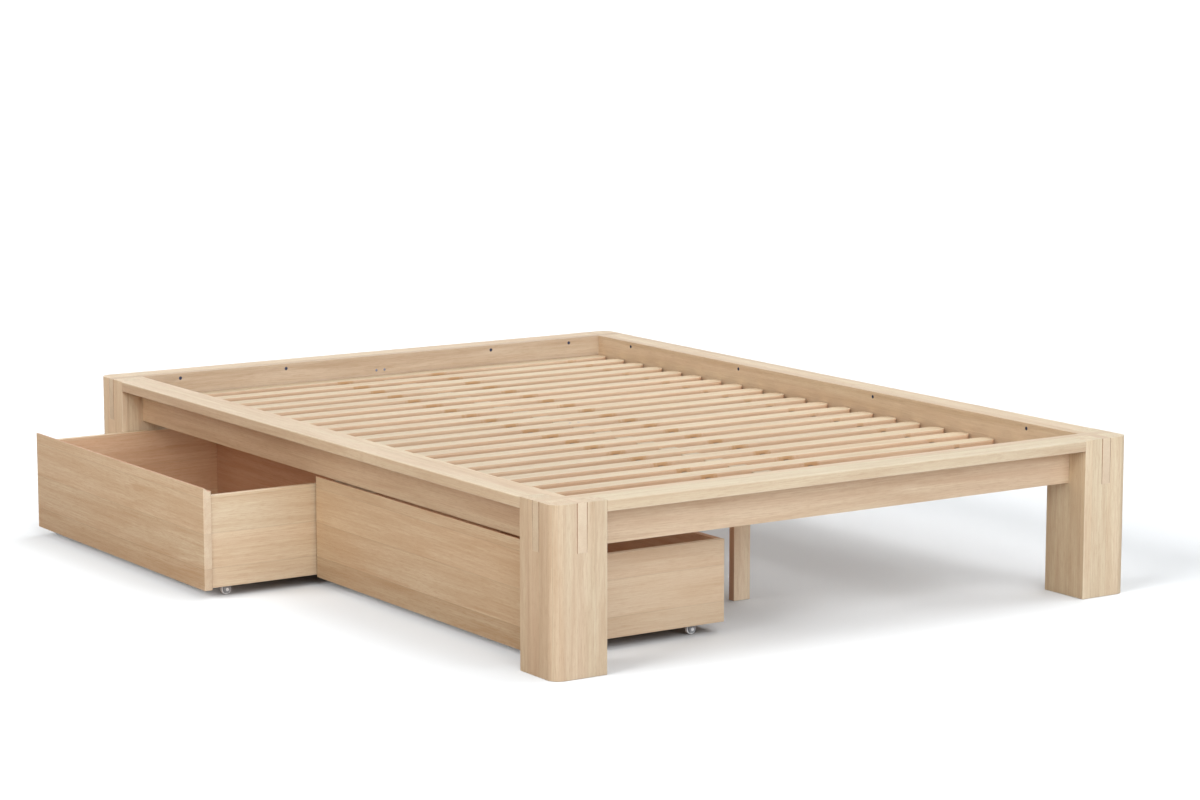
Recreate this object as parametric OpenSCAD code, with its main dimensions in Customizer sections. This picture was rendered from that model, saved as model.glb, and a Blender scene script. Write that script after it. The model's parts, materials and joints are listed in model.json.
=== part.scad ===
// Low platform bed in solid wood, with two drawers on castors under its left side.
//
// The piece is built in the bed's own corner frame: x runs from the left long side to the right,
// y from the foot to the head, z up from the floor. place() then moves the origin to the middle
// of everything's footprint on the floor, with the far drawer pulled out as it is shown.
//
// Each rail is an upright board with a flat strip along its outer top edge. The four boards run
// right through the legs, where they lap over each other, and their ends show on the outer faces.

/* [Overall] */
// Width of the bed over its legs
bed_w = 1576; // [1300:2:2100]
// Length of the bed over its legs
bed_l = 2170; // [1800:2:2700]
// Height of the top edge over the floor
bed_h = 370; // [330:1:460]

/* [Legs] */
// Side of the square leg
leg = 132; // [112:1:165]
// Radius of the leg's outer corner
leg_corner_r = 28; // [6:1:40]
// Radius of the leg's other upright edges
leg_edge_r = 2; // [1:0.5:4]

/* [Rails] */
// Thickness of the upright boards
board_t = 25; // [18:1:32]
// Height of the upright boards
board_h = 106; // [90:1:130]
// Width of the outer strip, from the leg's face to the board
strip_w = 57; // [45:1:66]
// Thickness of the outer strip
strip_h = 26; // [20:1:32]
// Radius along the strip's outer edges
strip_edge_r = 3; // [1:0.5:5]

/* [Slats] */
// Width of one slat
slat_w = 52; // [40:1:64]
// Thickness of one slat
slat_h = 18; // [14:1:22]
// Radius along the slat's edges
slat_edge_r = 5; // [2:0.5:6]
// Radius of the slat's corners, seen from above
slat_corner_r = 14; // [6:1:18]
// How far the slats lie below the top edge
slat_drop = 53; // [40:1:60]
// Gap between a slat's end and the board
slat_end_gap = 3; // [2:0.5:6]
// Gap between the last slat and the end board
slat_side_gap = 3.5; // [2:0.5:8]
// Width of the bands that link the slats
band_w = 12; // [8:1:20]
// Thickness of the bands
band_t = 2; // [1:0.5:3]
// Distance of the inner bands from the middle
band_in = 144; // [90:1:220]
// Distance of the outer bands from the slats' ends
band_end = 126; // [60:1:240]

/* [Middle beam] */
// Width of the middle beam and its legs
beam_w = 45; // [35:1:60]
// Height of the middle beam
beam_h = 50; // [35:1:110]
// Depth of the notches that hold the slats
beam_notch = 12; // [6:1:15]
// Play of a slat in its notch
notch_play = 0.5; // [0.3:0.1:2]
// Thickness of a middle leg
mid_leg_t = 20; // [16:1:40]
// Distance of a middle leg from the bed's end
mid_leg_in = 428; // [300:1:600]

/* [Ledgers] */
// Width of the ledger that carries the slats' ends
ledger_w = 25; // [16:1:34]
// Height of the ledger
ledger_h = 30; // [20:1:40]

/* [Bolts] */
// Diameter of a bolt's head
bolt_head_d = 9; // [6:0.5:12]
// Height of a bolt's head
bolt_head_h = 4; // [2:0.5:6]
// Diameter of a bolt's shank
bolt_d = 6; // [4:0.5:8]
// Length of a bolt's shank
bolt_l = 58; // [35:1:60]
// Bolts of the long rails, from the foot end
side_bolts_foot = [265, 847];
// Bolts of the long rails, from the head end
side_bolts_head = [751, 243];
// Bolts of the end rails, from the left side
end_bolts_left = [191, 501];
// Bolts of the end rails, from the right side
end_bolts_right = [438, 182];
// Distance between the two screws of a pair
screw_gap = 25; // [14:1:34]
// Diameter of a screw's head
screw_head_d = 7; // [4:0.5:9]
// Height of a screw pair over the slats
screw_rise = 13; // [8:1:24]
// The slat that is screwed down to the middle beam
screwed_slat = 12; // [1:1:22]

/* [Drawers] */
// Gap between the foot leg and the near drawer
near_gap = 45; // [5:1:60]
// Gap between the head leg and the far drawer
far_gap = 5; // [3:1:30]
// Gap between the two drawers
seam_gap = 4; // [3:1:12]
// Distance of the closed fronts from the outer face of the legs
front_in = 50; // [20:1:56]
// Gap between the fronts and the board above them
front_gap = 3; // [2:0.5:8]
// Thickness of the fronts
front_t = 20; // [16:1:26]
// Height of the fronts over the floor
front_lift = 21; // [16:1:30]
// Depth of the finger bevel behind the top of a front
grip_h = 8; // [5:1:20]
// How far a front reaches past the box at each end
front_over = 4; // [1:1:10]
// Depth of the box behind the front
box_d = 490; // [400:5:560]
// How far the near drawer's box ends below the top of its front
near_box_drop = 51; // [16:1:110]
// How far the far drawer's box ends below the top of its front
far_box_drop = 20; // [16:1:110]
// Thickness of the box's boards
box_t = 16; // [12:1:20]
// Height of the boxes over the floor
box_lift = 25; // [23:1:34]
// Height of the bottom over the lower edge of the box
bottom_rise = 9; // [8:1:16]
// Thickness of the box's bottom
bottom_t = 8; // [5:1:10]
// Depth of the groove that holds the bottom
groove = 6; // [4:1:8]
// How far the near drawer is pulled out
near_open = 0; // [0:10:450]
// How far the far drawer is pulled out
far_open = 290; // [0:10:450]

/* [Castors] */
// Radius of the wheels
wheel_r = 12.5; // [10:0.5:14]
// Width of the wheels
wheel_w = 10; // [8:0.5:14]
// Distance of a wheel's axle from the front face or the back of the drawer
wheel_in = 70; // [60:1:110]
// Distance of a wheel's middle from the outside of the box
wheel_side = 30; // [28:1:60]
// Diameter of the axles
axle_d = 4; // [3:0.5:5]
// Gap between an axle and its wheel
axle_play = 0.08; // [0.02:0.01:0.1]
// Thickness of the housing's cheeks
cheek_t = 3; // [2:0.5:4]
// Gap between a wheel and its housing
cheek_gap = 0.8; // [0.4:0.1:1.5]

/* [Hidden] */
$fn = 32;
slat_count = 22;
origin_x = (bed_w + min(0, front_in - far_open, front_in - near_open)) / 2;
rail_w = strip_w + board_t;
board_z = bed_h - board_h;
lap_z = bed_h - board_h / 2;
slat_z = bed_h - slat_drop - slat_h;
inner_l = bed_l - 2 * rail_w;
slat_l = bed_w - 2 * (rail_w + slat_end_gap);
slat_pitch = (inner_l - 2 * slat_side_gap - slat_w) / (slat_count - 1);
mid_x = bed_w / 2;
outer_band_x = rail_w + slat_end_gap + band_end;
bands_x = [outer_band_x, mid_x - band_in, mid_x + band_in, bed_w - outer_band_x];
band_z = slat_z + slat_h / 2;
slot_play = 0.5;
beam_z = slat_z + beam_notch - beam_h;
bolt_z = bed_h - strip_h / 2;
bolt_play = 0.1;
screw_d = 4;
screw_l = 22;
screw_head_h = 2.5;
front_l = (bed_l - 2 * leg - near_gap - far_gap - seam_gap) / 2;
front_h = board_z - front_gap - front_lift;
front_edge_r = 2;
grip_lip = 2;
grip_back = 8;
near_y = leg + near_gap;
far_y = near_y + front_l + seam_gap;
box_l = front_l - 2 * front_over;
box_x = front_in + front_t;
near_box_h = front_lift + front_h - near_box_drop - box_lift;
far_box_h = front_lift + front_h - far_box_drop - box_lift;
bottom_z = box_lift + bottom_rise;
groove_play = 0.2;
housing_h = bottom_z - wheel_r;
housing_l = 2 * wheel_r + 8;
plate_t = 3;
cheek_r = wheel_r - 4;
cut = 1;

// ---------------------------------------------------------------- colours and placing

module wood() color("#dcc0a0") children();
module slat_wood() color("#e6cfae") children();
module steel() color("#5c6068") children();
module cloth() color("#8f7355") children();
module plastic() color("#d9dbdc") children();

// From the bed's corner frame to the object's own frame.
module place() translate([-origin_x, -bed_l / 2, 0]) children();

// The foot-left corner's piece, copied to any of the four corners.
module to_corner(right, head) {
    translate([right ? bed_w : 0, head ? bed_l : 0, 0])
        mirror([right ? 1 : 0, 0, 0])
            mirror([0, head ? 1 : 0, 0])
                children();
}

// A rectangle from the origin with round corners of radius r.
module round_rect(size, r) {
    translate([r, 0]) square([size.x - 2 * r, size.y]);
    translate([0, r]) square([size.x, size.y - 2 * r]);
    for (x = [r, size.x - r], y = [r, size.y - r])
        translate([x, y]) circle(r);
}

// A bar along +x whose section is a rectangle with round corners.
module eased_bar(length, width, height, r) {
    rotate([90, 0, 90]) linear_extrude(length) round_rect([width, height], r);
}

// ---------------------------------------------------------------- legs

// Outline of a leg at the foot-left corner: one large round corner and three eased ones.
module leg_outline() {
    difference() {
        round_rect([leg, leg], leg_edge_r);
        difference() {
            translate([-cut, -cut]) square(leg_corner_r + cut);
            translate([leg_corner_r, leg_corner_r]) circle(leg_corner_r, $fn = 96);
        }
    }
}

// The leg stands full height outside the boards. Two slots, open at the top, take the boards,
// and its inner quarter stops under the slats, so that it carries the first one.
module corner_leg(right, head) {
    wood() place() to_corner(right, head)
        difference() {
            linear_extrude(bed_h) leg_outline();
            translate([-cut, strip_w, board_z]) cube([leg + 2 * cut, board_t, board_h + cut]);
            translate([strip_w, -cut, board_z]) cube([board_t, leg + 2 * cut, board_h + cut]);
            translate([rail_w - cut, rail_w - cut, slat_z]) cube([leg, leg, bed_h]);
        }
}

// ---------------------------------------------------------------- rails

// Bolt places along the long rails and along the end rails.
side_bolts = [for (y = side_bolts_foot) y, for (y = side_bolts_head) bed_l - y];
end_bolts = [for (x = end_bolts_left) x, for (x = end_bolts_right) bed_w - x];

// One bolt along +x: a round head at x = 0 and a shank behind it.
module bolt(play = 0) {
    rotate([0, 90, 0]) {
        cylinder(h = bolt_head_h, d = bolt_head_d + 2 * play);
        cylinder(h = bolt_head_h + bolt_l, d = bolt_d + 2 * play);
    }
}

// The bolts of a long rail point outwards from the board's inner face.
module side_bolt_set(right, play = 0) {
    for (y = side_bolts)
        translate([right ? bed_w - rail_w : rail_w, y, bolt_z])
            mirror([right ? 0 : 1, 0, 0]) bolt(play);
}

module end_bolt_set(head, play = 0) {
    for (x = end_bolts)
        translate([x, head ? bed_l - rail_w : rail_w, bolt_z])
            rotate([0, 0, head ? 90 : -90]) bolt(play);
}

// A screw along +x, sunk with its head flush at x = 0.
module screw(play = 0) {
    rotate([0, 90, 0]) {
        cylinder(h = screw_head_h, d = screw_head_d + 2 * play);
        cylinder(h = screw_l, d = screw_d + 2 * play);
    }
}

// The pair in each end board, above the middle beam.
module end_screw_pairs(play = 0) {
    for (head = [false, true], side = [-1, 1])
        translate([mid_x + side * screw_gap / 2, head ? bed_l - rail_w : rail_w,
                bed_h - slat_drop + screw_rise])
            rotate([0, 0, head ? 90 : -90]) screw(play);
}

// The pair that holds one slat down on the middle beam.
module slat_screw_pair(play = 0) {
    for (side = [-1, 1])
        translate([mid_x + side * screw_gap / 2, slat_y(screwed_slat), slat_z + slat_h])
            rotate([0, 90, 0]) screw(play);
}

// The long boards keep their lower half where they cross the end boards.
module side_board(right) {
    wood() place()
        difference() {
            translate([right ? bed_w - rail_w : strip_w, 0, board_z])
                cube([board_t, bed_l, board_h]);
            for (y = [strip_w, bed_l - rail_w])
                translate([right ? bed_w - rail_w - cut : strip_w - cut, y, lap_z])
                    cube([board_t + 2 * cut, board_t, board_h]);
            side_bolt_set(right, bolt_play);
        }
}

// The end boards keep their upper half there.
module end_board(head) {
    wood() place()
        difference() {
            translate([0, head ? bed_l - rail_w : strip_w, board_z])
                cube([bed_w, board_t, board_h]);
            for (x = [strip_w, bed_w - rail_w])
                translate([x, head ? bed_l - rail_w - cut : strip_w - cut, board_z - cut])
                    cube([board_t, board_t + 2 * cut, lap_z - board_z + cut]);
            end_bolt_set(head, bolt_play);
            end_screw_pairs(bolt_play);
        }
}

// Section of a strip: x across, y up, its two outer edges rounded.
module strip_section() {
    r = strip_edge_r;
    translate([r, 0]) square([strip_w - r, strip_h]);
    translate([0, r]) square([strip_w, strip_h - 2 * r]);
    for (y = [r, strip_h - r]) translate([r, y]) circle(r);
}

module side_strip(right) {
    wood() place()
        difference() {
            translate([right ? bed_w : 0, bed_l - leg, bed_h - strip_h])
                mirror([right ? 1 : 0, 0, 0])
                    rotate([90, 0, 0]) linear_extrude(bed_l - 2 * leg) strip_section();
            side_bolt_set(right, bolt_play);
        }
}

module end_strip(head) {
    wood() place()
        difference() {
            translate([leg, head ? bed_l : 0, bed_h - strip_h])
                mirror([0, head ? 1 : 0, 0])
                    rotate([90, 0, 90]) linear_extrude(bed_w - 2 * leg) strip_section();
            end_bolt_set(head, bolt_play);
        }
}

module bolts() {
    steel() place() {
        for (side = [false, true]) {
            side_bolt_set(side);
            end_bolt_set(side);
        }
    }
}

module screws() {
    steel() place() {
        end_screw_pairs();
        slat_screw_pair();
    }
}

// ---------------------------------------------------------------- slat support

// Middle of slat number i, counted from 1 at the foot.
function slat_y(i) = rail_w + slat_side_gap + slat_w / 2 + (i - 1) * slat_pitch;

module ledgers() {
    wood() place()
        for (x = [rail_w, bed_w - rail_w - ledger_w])
            translate([x, leg, slat_z - ledger_h])
                cube([ledger_w, bed_l - 2 * leg, ledger_h]);
}

// The beam's top edge is a comb: a notch for every slat, and a tooth between two slats.
module beam() {
    wood() place()
        difference() {
            translate([mid_x - beam_w / 2, rail_w, beam_z]) cube([beam_w, inner_l, beam_h]);
            for (i = [1 : slat_count])
                translate([mid_x - beam_w / 2 - cut, slat_y(i) - slat_w / 2 - notch_play, slat_z])
                    cube([beam_w + 2 * cut, slat_w + 2 * notch_play, beam_h]);
            slat_screw_pair(bolt_play);
        }
}

module middle_legs() {
    wood() place()
        for (y = [mid_leg_in, bed_l - mid_leg_in - mid_leg_t])
            translate([mid_x - beam_w / 2, y, 0]) cube([beam_w, mid_leg_t, beam_z]);
}

module band_set(play = 0) {
    for (x = bands_x)
        translate([x - band_w / 2 - play, slat_y(1) - slat_w / 2, band_z - band_t / 2 - play])
            cube([band_w + 2 * play, slat_y(slat_count) - slat_y(1) + slat_w, band_t + 2 * play]);
}

module bands() cloth() place() band_set();

// A slat has round edges along it and round corners at its ends.
module slat(i) {
    slat_wood() place()
        difference() {
            translate([rail_w + slat_end_gap, slat_y(i) - slat_w / 2, slat_z])
                intersection() {
                    eased_bar(slat_l, slat_w, slat_h, slat_edge_r);
                    linear_extrude(slat_h) round_rect([slat_l, slat_w], slat_corner_r);
                }
            band_set(slot_play);
            if (i == screwed_slat) slat_screw_pair(bolt_play);
        }
}

// ---------------------------------------------------------------- drawers

// Each drawer is drawn closed at y = 0 and moved along the bed and out of it.
module at_near() place() translate([-near_open, near_y, 0]) children();
module at_far() place() translate([-far_open, far_y, 0]) children();

// Side view of a front: x inwards, y up. The top slopes down behind, to hook a finger in.
module front_section() {
    r = front_edge_r;
    polygon([
        [0, 0],
        [front_t, 0],
        [front_t, front_h - grip_h],
        [front_t - grip_back, front_h - grip_h],
        [r + grip_lip, front_h - r / 2],
        [r + grip_lip / 2, front_h],
        [r, front_h],
        for (a = [100 : 16 : 180]) [r + r * cos(a), front_h - r + r * sin(a)],
    ]);
}

module drawer_front() {
    translate([front_in, front_l, front_lift])
        rotate([90, 0, 0]) linear_extrude(front_l) front_section();
}

// The groove in the sides, the front end's tongue and the back carry the bottom.
module bottom_panel(play = 0) {
    translate([box_x, front_over + box_t - groove - play, bottom_z - play])
        cube([box_d - box_t + groove + play, box_l - 2 * (box_t - groove - play),
            bottom_t + 2 * play]);
}

module drawer_side(box_h, head) {
    difference() {
        translate([box_x, head ? front_l - front_over - box_t : front_over, box_lift])
            cube([box_d, box_t, box_h]);
        bottom_panel(groove_play);
    }
}

module drawer_back(box_h) {
    difference() {
        translate([box_x + box_d - box_t, front_over + box_t, box_lift])
            cube([box_t, box_l - 2 * box_t, box_h]);
        bottom_panel(groove_play);
    }
}

// The four castor places of a drawer: axle middles, seen from above.
wheel_xs = [front_in + wheel_in, box_x + box_d - wheel_in];
wheel_ys = [front_over + wheel_side, front_l - front_over - wheel_side];
castor_spots = [for (x = wheel_xs, y = wheel_ys) [x, y]];

// A cheek of the housing, seen along the axle: square at the bottom panel, round at the axle.
module cheek_outline() {
    circle(cheek_r);
    translate([-cheek_r, 0]) square([2 * cheek_r, housing_h]);
    translate([-housing_l / 2, housing_h - plate_t]) square([housing_l, plate_t]);
}

// One fixed castor housing around the axle: two cheeks, a plate under the bottom and the pin.
module castor_housing() {
    inner = wheel_w / 2 + cheek_gap;
    rotate([90, 0, 0]) {
        for (z = [inner, -inner - cheek_t])
            translate([0, 0, z]) linear_extrude(cheek_t) cheek_outline();
        cylinder(h = 2 * (inner + cheek_t), d = axle_d, center = true);
    }
    translate([-housing_l / 2, -inner - cheek_t, housing_h - plate_t])
        cube([housing_l, 2 * (inner + cheek_t), plate_t]);
}

module housings() {
    for (spot = castor_spots)
        translate([spot.x, spot.y, wheel_r]) castor_housing();
}

// A wheel with a crowned tread, a dished face on each side and a hub with its bore.
module wheel_section() {
    half = wheel_w / 2;
    bore = axle_d / 2 + axle_play;
    hub = bore + 2.5;
    rim = wheel_r - 3.2;
    dish = 2;
    slope = 0.6;
    crown = 1;
    shoulder = 2.5;
    polygon([
        [bore, -half], [hub, -half],
        [hub + slope, -half + dish], [rim - slope, -half + dish],
        [rim, -half], [wheel_r - crown, -half],
        [wheel_r, -half + shoulder], [wheel_r, half - shoulder],
        [wheel_r - crown, half], [rim, half],
        [rim - slope, half - dish], [hub + slope, half - dish],
        [hub, half], [bore, half],
    ]);
}

module wheel(i) {
    spot = castor_spots[i - 1];
    translate([spot.x, spot.y, wheel_r])
        rotate([90, 0, 0]) rotate_extrude() wheel_section();
}

// ---------------------------------------------------------------- the pieces

corner_leg(false, false);  // leg_foot_left
corner_leg(true, false);  // leg_foot_right
corner_leg(false, true);  // leg_head_left
corner_leg(true, true);  // leg_head_right
side_board(false);  // board_left
side_board(true);  // board_right
end_board(false);  // board_foot
end_board(true);  // board_head
side_strip(false);  // strip_left
side_strip(true);  // strip_right
end_strip(false);  // strip_foot
end_strip(true);  // strip_head
ledgers();
beam();
middle_legs();
bands();
bolts();
screws();
slat(1);  // slat_01
slat(2);  // slat_02
slat(3);  // slat_03
slat(4);  // slat_04
slat(5);  // slat_05
slat(6);  // slat_06
slat(7);  // slat_07
slat(8);  // slat_08
slat(9);  // slat_09
slat(10);  // slat_10
slat(11);  // slat_11
slat(12);  // slat_12
slat(13);  // slat_13
slat(14);  // slat_14
slat(15);  // slat_15
slat(16);  // slat_16
slat(17);  // slat_17
slat(18);  // slat_18
slat(19);  // slat_19
slat(20);  // slat_20
slat(21);  // slat_21
slat(22);  // slat_22
wood() at_near() drawer_front();  // near_front
wood() at_near() drawer_side(near_box_h, false);  // near_side_foot
wood() at_near() drawer_side(near_box_h, true);  // near_side_head
wood() at_near() drawer_back(near_box_h);  // near_back
wood() at_near() bottom_panel();  // near_bottom
plastic() at_near() housings();  // near_housings
plastic() at_near() wheel(1);  // near_wheel_1
plastic() at_near() wheel(2);  // near_wheel_2
plastic() at_near() wheel(3);  // near_wheel_3
plastic() at_near() wheel(4);  // near_wheel_4
wood() at_far() drawer_front();  // far_front
wood() at_far() drawer_side(far_box_h, false);  // far_side_foot
wood() at_far() drawer_side(far_box_h, true);  // far_side_head
wood() at_far() drawer_back(far_box_h);  // far_back
wood() at_far() bottom_panel();  // far_bottom
plastic() at_far() housings();  // far_housings
plastic() at_far() wheel(1);  // far_wheel_1
plastic() at_far() wheel(2);  // far_wheel_2
plastic() at_far() wheel(3);  // far_wheel_3
plastic() at_far() wheel(4);  // far_wheel_4
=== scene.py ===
# %% [markdown]
# # A low platform bed in beech, with two drawers on castors
#
# The bed's construction is already fixed: every leg, board, slat and drawer panel comes from a
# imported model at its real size. This script gives those pieces their looks. It turns the sharp
# machine shapes into sanded wood with eased edges, models the small hardware, makes the beech
# from shader nodes and sets up the studio.

# %% Load the construction
import json
import math
import random

import bpy
from mathutils import Matrix, Vector


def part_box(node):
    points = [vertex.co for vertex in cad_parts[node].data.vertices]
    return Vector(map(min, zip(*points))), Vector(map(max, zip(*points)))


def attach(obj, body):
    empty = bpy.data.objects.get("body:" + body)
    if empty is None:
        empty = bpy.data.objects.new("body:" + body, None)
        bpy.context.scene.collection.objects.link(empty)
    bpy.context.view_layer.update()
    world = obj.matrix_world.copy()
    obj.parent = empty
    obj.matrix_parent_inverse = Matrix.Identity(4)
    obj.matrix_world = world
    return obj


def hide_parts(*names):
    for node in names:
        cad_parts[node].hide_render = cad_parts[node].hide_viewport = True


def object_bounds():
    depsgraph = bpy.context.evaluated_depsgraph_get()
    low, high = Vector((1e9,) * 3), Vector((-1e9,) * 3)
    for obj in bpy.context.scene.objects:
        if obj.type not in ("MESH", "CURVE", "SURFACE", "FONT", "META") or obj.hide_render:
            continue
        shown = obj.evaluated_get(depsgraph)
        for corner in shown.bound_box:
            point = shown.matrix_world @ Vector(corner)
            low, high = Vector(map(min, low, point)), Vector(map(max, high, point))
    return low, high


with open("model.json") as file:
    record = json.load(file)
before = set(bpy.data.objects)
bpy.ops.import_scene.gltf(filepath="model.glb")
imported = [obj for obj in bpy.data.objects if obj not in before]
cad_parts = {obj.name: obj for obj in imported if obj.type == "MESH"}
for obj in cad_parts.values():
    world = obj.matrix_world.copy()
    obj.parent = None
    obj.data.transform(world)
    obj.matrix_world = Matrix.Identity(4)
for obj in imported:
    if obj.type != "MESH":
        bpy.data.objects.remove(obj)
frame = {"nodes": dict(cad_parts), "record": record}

cad_low, cad_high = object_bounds()
NODES = frame["nodes"]
BODY_OF = {}
for body, members in frame["record"]["behaviour"]["bodies"].items():
    for member in members:
        BODY_OF[member] = body
print("pieces in the construction:", len(NODES))
print("its box in metres:", [round(v, 3) for v in cad_high - cad_low])

# %% [markdown]
# ## The camera
#
# The picture was taken from the drawer side of the foot end, a little above head height and far
# enough away that the long sides hardly converge. A long lens gives that calm view. The place
# and the two angles were worked out from the edges of the legs and rails. Looking slightly down
# keeps the bed in the frame without shifting the lens.

# %% The camera
CAMERA_PLACE = (-4.207, -6.588, 1.616)
CAMERA_TURN = 33.57
CAMERA_DOWN = 8.92
CAMERA_LENS = 97.95
CAMERA_SENSOR = 36
CAMERA_SIGHT = 200

bpy.ops.object.select_all(action="DESELECT")
bpy.ops.object.camera_add(location=CAMERA_PLACE)
camera = bpy.context.object
camera.name = "camera"
camera.rotation_euler = (math.radians(90 - CAMERA_DOWN), 0, math.radians(-CAMERA_TURN))
camera.data.sensor_width = CAMERA_SENSOR
camera.data.lens = CAMERA_LENS
camera.data.clip_end = CAMERA_SIGHT
bpy.context.scene.camera = camera
print("camera:", CAMERA_LENS, "mm lens, looking", CAMERA_DOWN, "degrees down")

# %% [markdown]
# ## The softboxes
#
# A catalogue studio hangs large softboxes all round the piece. The strongest for the bed stands
# low in front of the foot end, so the ends of the legs are brighter than their left sides. One
# hangs over the head end and a weaker one over the right side, and two with warmer cloths stand
# at the near corner and at the drawers. The floor has lamps of its own with white cloths,
# because the background has to stay white whatever the bed gets. A sun lamp with a wide angle
# does the work of a softbox: its shadows are just as soft, and the light is even over the whole
# length of the bed. It doesn't matter how far off a sun lamp stands, only which way it looks.

# %% Softboxes
SOFTBOX_WIDTH = math.radians(50)
SOFTBOX_AWAY = 5
WHITE_CLOTH = (1.0, 1.0, 1.0)
COOL_CLOTH = (0.95, 1.0, 1.05)
CREAM_CLOTH = (1.0, 0.99, 0.89)
WARM_CLOTH = (1.0, 0.82, 0.62)
# What it lights, its name, the side it stands on in degrees from the foot end towards the left,
# its height in degrees, its power and its cloth
SOFTBOXES = (
    ("bed", "over_head_end", 180, 50, 1.53, WHITE_CLOTH),
    ("bed", "over_right_side", 270, 60, 0.65, COOL_CLOTH),
    ("bed", "at_foot_end", 0, 20, 1.71, COOL_CLOTH),
    ("bed", "at_near_corner", 45, 35, 1.15, CREAM_CLOTH),
    ("bed", "at_drawer_side", 90, 20, 0.55, WARM_CLOTH),
    ("floor", "floor_right_side", 270, 60, 2.50, WHITE_CLOTH),
    ("floor", "floor_foot_end", 0, 38, 2.40, WHITE_CLOTH),
    ("floor", "floor_near_corner", 45, 35, 0.35, WHITE_CLOTH),
    ("floor", "floor_drawer_side", 90, 20, 7.10, WHITE_CLOTH),
)
lamps = {"bed": [], "floor": []}

for lit, name, side, height, power, cloth in SOFTBOXES:
    turn, rise = math.radians(side), math.radians(height)
    place = Vector((-math.sin(turn) * math.cos(rise), -math.cos(turn) * math.cos(rise),
                    math.sin(rise)))
    bpy.ops.object.light_add(type="SUN", location=place * SOFTBOX_AWAY)
    softbox = bpy.context.object
    softbox.name = name
    softbox.rotation_euler = place.to_track_quat("Z", "Y").to_euler()
    softbox.data.angle = SOFTBOX_WIDTH
    softbox.data.energy = power
    softbox.data.color = cloth
    lamps[lit].append(softbox)
print("softboxes:", len(lamps["bed"]), "for the bed and", len(lamps["floor"]), "for the floor")

# %% [markdown]
# ## Tools for nodes
#
# Every material, and the light of the room, is a tree of nodes. Nodes are added, their settings
# and sockets are given values, and sockets are linked. Three helpers keep each of these to a
# line, so that the trees below stay short enough to read.

# %% Tools for nodes


def set_inputs(node, values):
    """Writes several named sockets of a shader node."""
    for name, value in values.items():
        node.inputs[name].default_value = value


def add_node(tree, kind, at=(0, 0), **settings):
    """Adds a shader node of that kind and sets its properties."""
    node = tree.nodes.new(kind)
    node.location = at
    for name, value in settings.items():
        setattr(node, name, value)
    return node


def connect(tree, *pairs):
    """Links sockets in pairs, each an output and the input that it feeds."""
    for output, target in pairs:
        tree.links.new(output, target)


print("tools for nodes:", ", ".join(tool.__name__ for tool in (set_inputs, add_node, connect)))

# %% [markdown]
# ## The white room
#
# The walls give only a little light of their own. The camera sees them pure white, and so does
# everything that reflects them, such as the steel bolts. The light path tells which ray asks.

# %% The white room
WALL_LIGHT = 0.01
PAPER_WHITE = (1, 1, 1, 1)

bpy.context.scene.view_settings.view_transform = "Standard"
world = bpy.data.worlds.new("studio")
bpy.context.scene.world = world
world.use_nodes = True
room = world.node_tree
room.nodes.clear()
path = add_node(room, "ShaderNodeLightPath", (-600, 0))
seen = add_node(room, "ShaderNodeMath", (-400, 0), operation="MAXIMUM")
seen_all = add_node(room, "ShaderNodeMath", (-200, 0), operation="MAXIMUM")
walls = add_node(room, "ShaderNodeBackground", (-200, -200))
white = add_node(room, "ShaderNodeBackground", (-200, -340))
choose = add_node(room, "ShaderNodeMixShader", (0, 0))
room_out = add_node(room, "ShaderNodeOutputWorld", (200, 0))
set_inputs(walls, {"Color": PAPER_WHITE, "Strength": WALL_LIGHT})
set_inputs(white, {"Color": PAPER_WHITE, "Strength": 1.0})
connect(room,
        (path.outputs["Is Camera Ray"], seen.inputs[0]),
        (path.outputs["Is Glossy Ray"], seen.inputs[1]),
        (seen.outputs[0], seen_all.inputs[0]),
        (path.outputs["Is Transmission Ray"], seen_all.inputs[1]),
        (seen_all.outputs[0], choose.inputs[0]),
        (walls.outputs[0], choose.inputs[1]),
        (white.outputs[0], choose.inputs[2]),
        (choose.outputs[0], room_out.inputs["Surface"]))
print("white room:", len(room.nodes), "nodes")

# %% [markdown]
# ## The floor
#
# The camera sees a white floor that keeps the bed's soft grey shadow. Paper so white would throw
# too much light back and make the left sides pale, so every other ray sees a warmer and darker
# board, and that is what lights the wood from below. Light linking tells each lamp what it
# lights: the bed's lamps leave out the floor, and the floor's lamps light nothing else. The bed
# blocks them all, so the shadow on the floor is still its own.

# %% The floor
FLOOR_SIZE = 160
FLOOR_DROP = 0.0006
FLOOR_WHITE = (0.620, 0.638, 0.652, 1)
FLOOR_BOARD = (0.30, 0.25, 0.225, 1)

floor_paint = bpy.data.materials.new("studio_floor")
floor_paint.use_nodes = True
ground = floor_paint.node_tree
ground.nodes.clear()
floor_path = add_node(ground, "ShaderNodeLightPath", (-600, 0))
floor_seen = add_node(ground, "ShaderNodeBsdfDiffuse", (-200, -140))
floor_bounce = add_node(ground, "ShaderNodeBsdfDiffuse", (-200, 0))
floor_mix = add_node(ground, "ShaderNodeMixShader", (0, 0))
floor_out = add_node(ground, "ShaderNodeOutputMaterial", (200, 0))
set_inputs(floor_seen, {"Color": FLOOR_WHITE})
set_inputs(floor_bounce, {"Color": FLOOR_BOARD})
connect(ground,
        (floor_path.outputs["Is Camera Ray"], floor_mix.inputs[0]),
        (floor_bounce.outputs[0], floor_mix.inputs[1]),
        (floor_seen.outputs[0], floor_mix.inputs[2]),
        (floor_mix.outputs[0], floor_out.inputs["Surface"]))

bpy.ops.mesh.primitive_plane_add(size=FLOOR_SIZE, location=(0, 0, -FLOOR_DROP))
floor = bpy.context.object
floor.name = "studio_floor"
floor.data.materials.append(floor_paint)

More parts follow.
